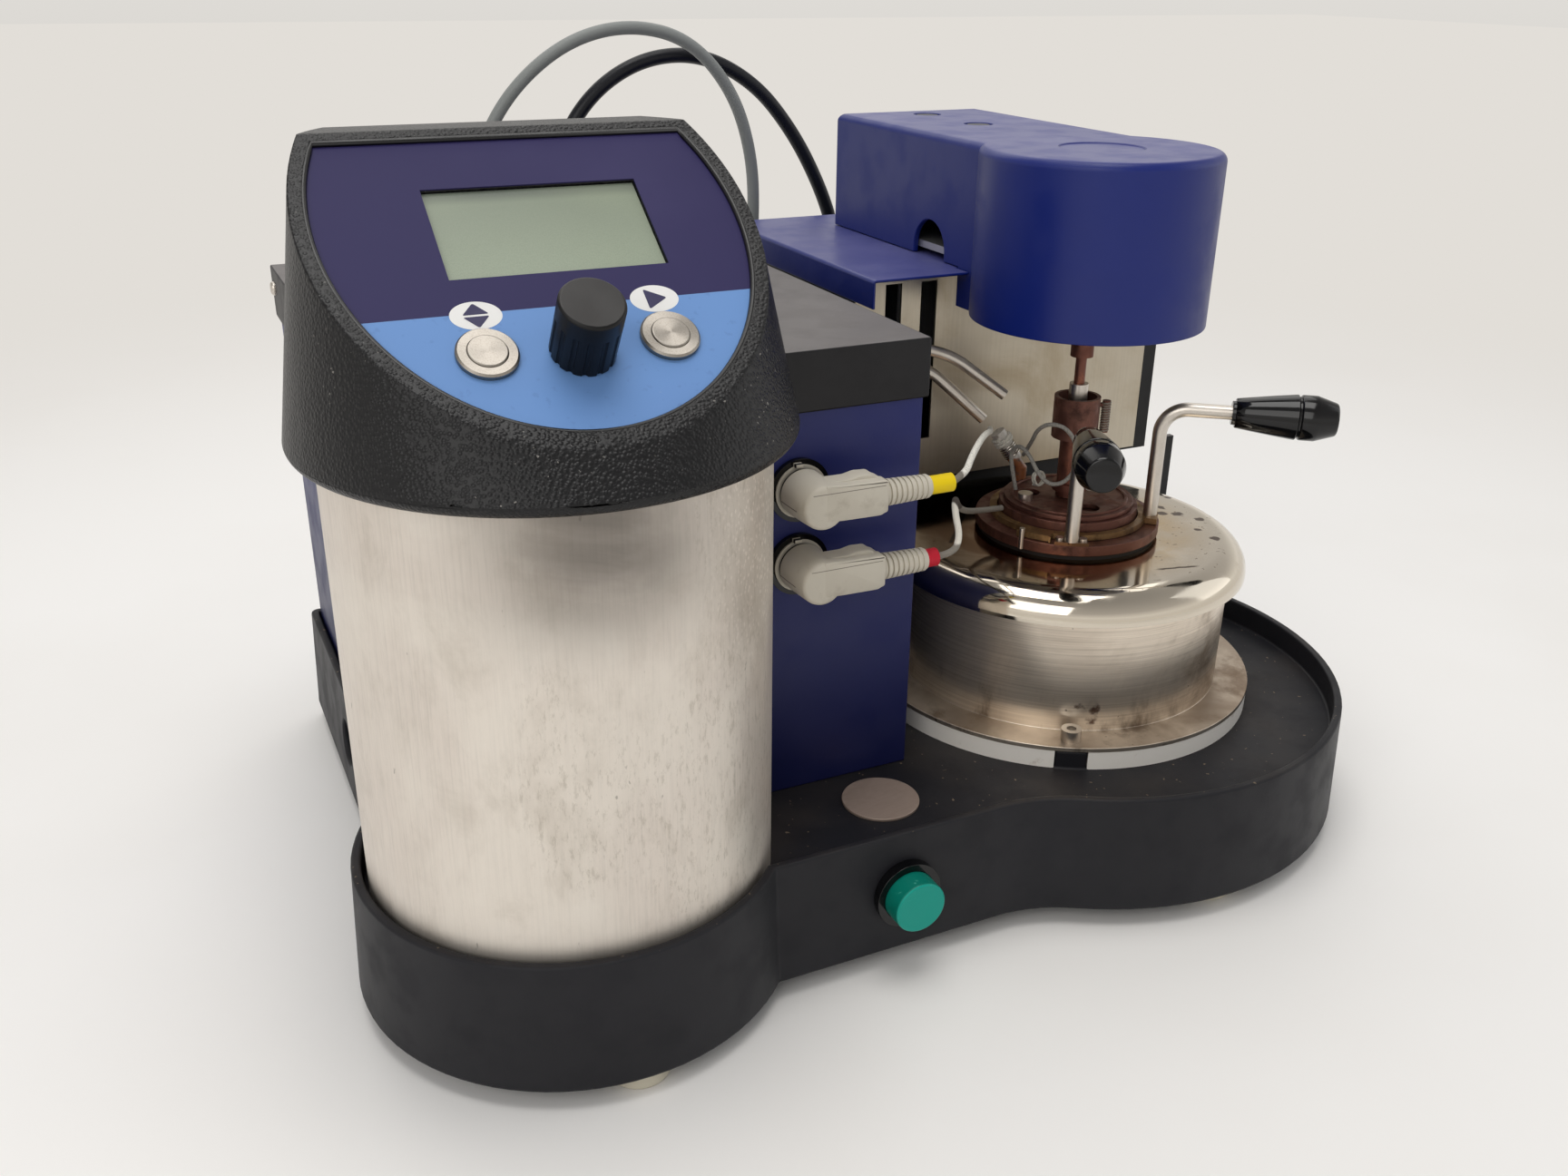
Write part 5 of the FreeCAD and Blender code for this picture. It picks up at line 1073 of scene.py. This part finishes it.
def flat_shape(name, outline, material, lift):
    """A thin printed shape on the face's overlay."""
    work = bmesh.new()
    work.faces.new([work.verts.new(on_face(u, v, lift)) for u, v in outline])
    new_object(name, to_mesh(work, name, material), "root")


def oval(u, v, count=64):
    """The outline of one of the printed ovals."""
    turns = [2 * math.pi * k / count for k in range(count)]
    return [(u + OVAL_LONG * math.cos(turn), v + OVAL_SHORT * math.sin(turn)) for turn in turns]


def soft_corners(corners, radius, count=5):
    """A polygon's outline with its corners rounded."""
    outline = []
    for before, corner, after in zip(corners[-1:] + corners[:-1], corners, corners[1:] + corners[:1]):
        corner, before, after = Vector(corner), Vector(before), Vector(after)
        start = corner + (before - corner).normalized() * radius
        end = corner + (after - corner).normalized() * radius
        for k in range(count + 1):
            share = k / count
            rest = 1 - share
            outline.append(tuple(start * rest ** 2 + corner * 2 * share * rest + end * share ** 2))
    return outline


def make_symbols():
    """White ovals with plain triangles beside the two push buttons."""
    white = moulded("print_white", rgb(232, 231, 228), 0.45, 1600, 0.02, mottle=0.2, lift=0.92).material
    navy = moulded("print_navy", rgb(44, 40, 80), 0.45, 1600, 0.02, mottle=0.2).material
    oval_w, mark_w = PRINT_W + 0.04, PRINT_W + 0.08
    flat_shape("left_oval", oval(*LEFT_OVAL), white, oval_w)
    flat_shape("right_oval", oval(*RIGHT_OVAL), white, oval_w)
    marks = (("up_mark", LEFT_OVAL, ((-3.9, 0.35), (3.9, 0.35), (0, 4.7)), 0.8),
             ("down_mark", LEFT_OVAL, ((3.9, -0.35), (-3.9, -0.35), (0, -4.7)), 0.8),
             ("right_mark", RIGHT_OVAL, ((-2.6, 4.0), (-2.6, -4.0), (4.0, 0)), 0.9))
    for name, middle, corners, radius in marks:
        placed = [tuple(middle + Vector(corner)) for corner in corners]
        flat_shape(name, soft_corners(placed, radius), navy, mark_w)


def helix(centre, axis, radius, pitch, turns, per_turn=12):
    """Control points of a winding about an axis."""
    axis, side, other = sides_of(axis)
    points = []
    for k in range(int(turns * per_turn) + 1):
        angle = 2 * math.pi * k / per_turn
        out = side * math.cos(angle) + other * math.sin(angle)
        points.append(centre + (out * radius + axis * pitch * k / per_turn) * MM)
    return points


# Each winding's radius, pitch, turns and wire radius, in millimetres, and the places that they need

WINDINGS = {
    "ignitor_winding": (3.8, 1.15, 5, 0.42), "ignitor_collar": (4.0, 1.5, 2.5, 0.8),
    "sleeve_spring": (1.7, 1.1, 12, 0.42), "plate_coil": (3.2, 1.3, 2, 0.55),
}
IGNITOR_ELBOW = (238.3, 74.7, 139.0)
IGNITOR_TILT = math.radians(36.0)
IGNITOR_HEADING = 154.3
WINDING_UP = 7.0
COLLAR_UP = 13.6
COIL_PLACE = (238.0, 62.0, 137.6)
COIL_AXIS = (0.1, -1.0, 0.25)
SPRING_HEADING = -25.67
SPRING_R = 12.6
SPRING_Z = 162.3


def winding(name, node, centre, axis, material):
    """A wound wire that rides with a node."""
    radius, pitch, turns, wire = WINDINGS[name]
    data = spline_curve(name, helix(centre, axis, radius, pitch, turns), wire * MM, material, rings=3)
    new_object(name, data, body_of(node))


def make_small_wires():
    """Windings on the ignitor, the coil on the cover plate and the spring at the sleeve."""
    silver = turned("wire_silver", rgb(205, 200, 192), 0.22).material
    white = looks["lead_white"].material
    lean = level_way(IGNITOR_HEADING) * math.sin(IGNITOR_TILT) + Vector((0, 0, math.cos(IGNITOR_TILT)))
    elbow = at(*IGNITOR_ELBOW)
    winding("ignitor_winding", "ignitor", elbow + lean * WINDING_UP * MM, lean, silver)
    winding("ignitor_collar", "ignitor", elbow + lean * COLLAR_UP * MM, lean, white)
    braid = woven("spring_braid", rgb(132, 124, 112), 0.5).material
    spring = STOVE + level_way(SPRING_HEADING) * SPRING_R
    winding("sleeve_spring", "shutter_sleeve", at(spring.x, spring.y, SPRING_Z), (0, 0, 1), braid)
    winding("plate_coil", "lid_cover_plate", at(*COIL_PLACE), COIL_AXIS, white)


# The bead along the overlay's edge: its radius, and how far outside and above the edge it lies

BEAD_R = 1.1 * MM
BEAD_OUT = 0.3 * MM
BEAD_LIFT = 0.4 * MM
BEAD_SIDES = 10


def overlay_outline():
    """The corners of the overlay's top face, in their order round it."""
    points = [vertex.co.copy() for vertex in nodes["display_overlay"].data.vertices]
    top = max(point.dot(FACE_NORMAL) for point in points)
    up = FACE_NORMAL.cross(Vector((1, 0, 0)))
    points = sorted((point for point in points if point.dot(FACE_NORMAL) > top - 0.0001),
                    key=lambda point: (point.x, point.dot(up)))

    def half(order):
        """One side of the outline, which bulges everywhere."""
        kept = []
        for point in order:
            while len(kept) > 1 and (kept[-1] - kept[-2]).cross(point - kept[-2]).dot(FACE_NORMAL) <= 1e-10:
                kept.pop()
            kept.append(point)
        return kept[:-1]

    step = 1 if Vector((1, 0, 0)).cross(up).dot(FACE_NORMAL) > 0 else -1
    return half(points[::step]) + half(points[::-step])


def make_rim_bead():
    """The smooth lip of the head round the edge of the overlay."""
    places = overlay_outline()
    middle = sum(places, Vector()) / len(places)
    turns = [2 * math.pi * step / BEAD_SIDES for step in range(BEAD_SIDES)]
    ring = bmesh.new()
    loops = []
    for k, place in enumerate(places):
        along = (places[(k + 1) % len(places)] - places[k - 1]).normalized()
        out = along.cross(FACE_NORMAL).normalized()
        if out.dot(place - middle) < 0:
            out.negate()
        centre = place + out * BEAD_OUT + FACE_NORMAL * BEAD_LIFT
        loops.append([ring.verts.new(centre + (out * math.cos(turn) + FACE_NORMAL * math.sin(turn)) * BEAD_R)
                      for turn in turns])
    join_rings(ring, loops + loops[:1])
    bmesh.ops.recalc_face_normals(ring, faces=ring.faces)
    black = moulded("rim_black", rgb(8, 8, 10), 0.28, 900, 0.01, specular=0.5).material
    mesh = to_mesh(ring, "rim_bead", black)
    mesh.shade_smooth()
    new_object("rim_bead", mesh, body_of("display_head"))


# Stage

FLOOR_REACH = 8.0
FLOOR_DROP = 0.0002
FLOOR_FADE = (0.42, 1.25)


def make_stage():
    """A plain pale floor that keeps the object's shadow near it and stays pale far behind."""
    work = bmesh.new()
    bmesh.ops.create_grid(work, x_segments=1, y_segments=1, size=FLOOR_REACH)
    look = Look("floor", rgb(248, 246, 243), 0.5, specular=0.3)
    look.wash(rgb(240, 237, 232), look.noise(3, 4), 0.45, 0.7, 0, 0.4)
    look.relief(look.noise(260, 3), 0.02)
    tree = look.tree
    pale, blend = look.add("Emission"), look.add("MixShader")
    pale.inputs[0].default_value = rgb(226, 222, 216)
    far = look.between(look.radius((0, 0, 0)), *FLOOR_FADE)
    look.plug(blend.inputs[0], look.both(far, seen_directly(tree)))
    look.plug(blend.inputs[1], look.shader.outputs[0])
    look.plug(blend.inputs[2], pale.outputs[0])
    look.plug(tree.nodes["Material Output"].inputs[0], blend.outputs[0])
    floor = add_object("floor", to_mesh(work, "floor", look.material))
    floor.location.z = -FLOOR_DROP


place_camera()
light_scene()
looks = make_looks()
make_cables()
make_leads()
for node in nodes:
    dress(node)
for node, width in ROUNDED.items():
    rounded(node, width * MM, merge_flats=node != "display_head")
make_plugs()
make_grips()
make_symbols()
make_small_wires()
make_rim_bead()
make_stage()
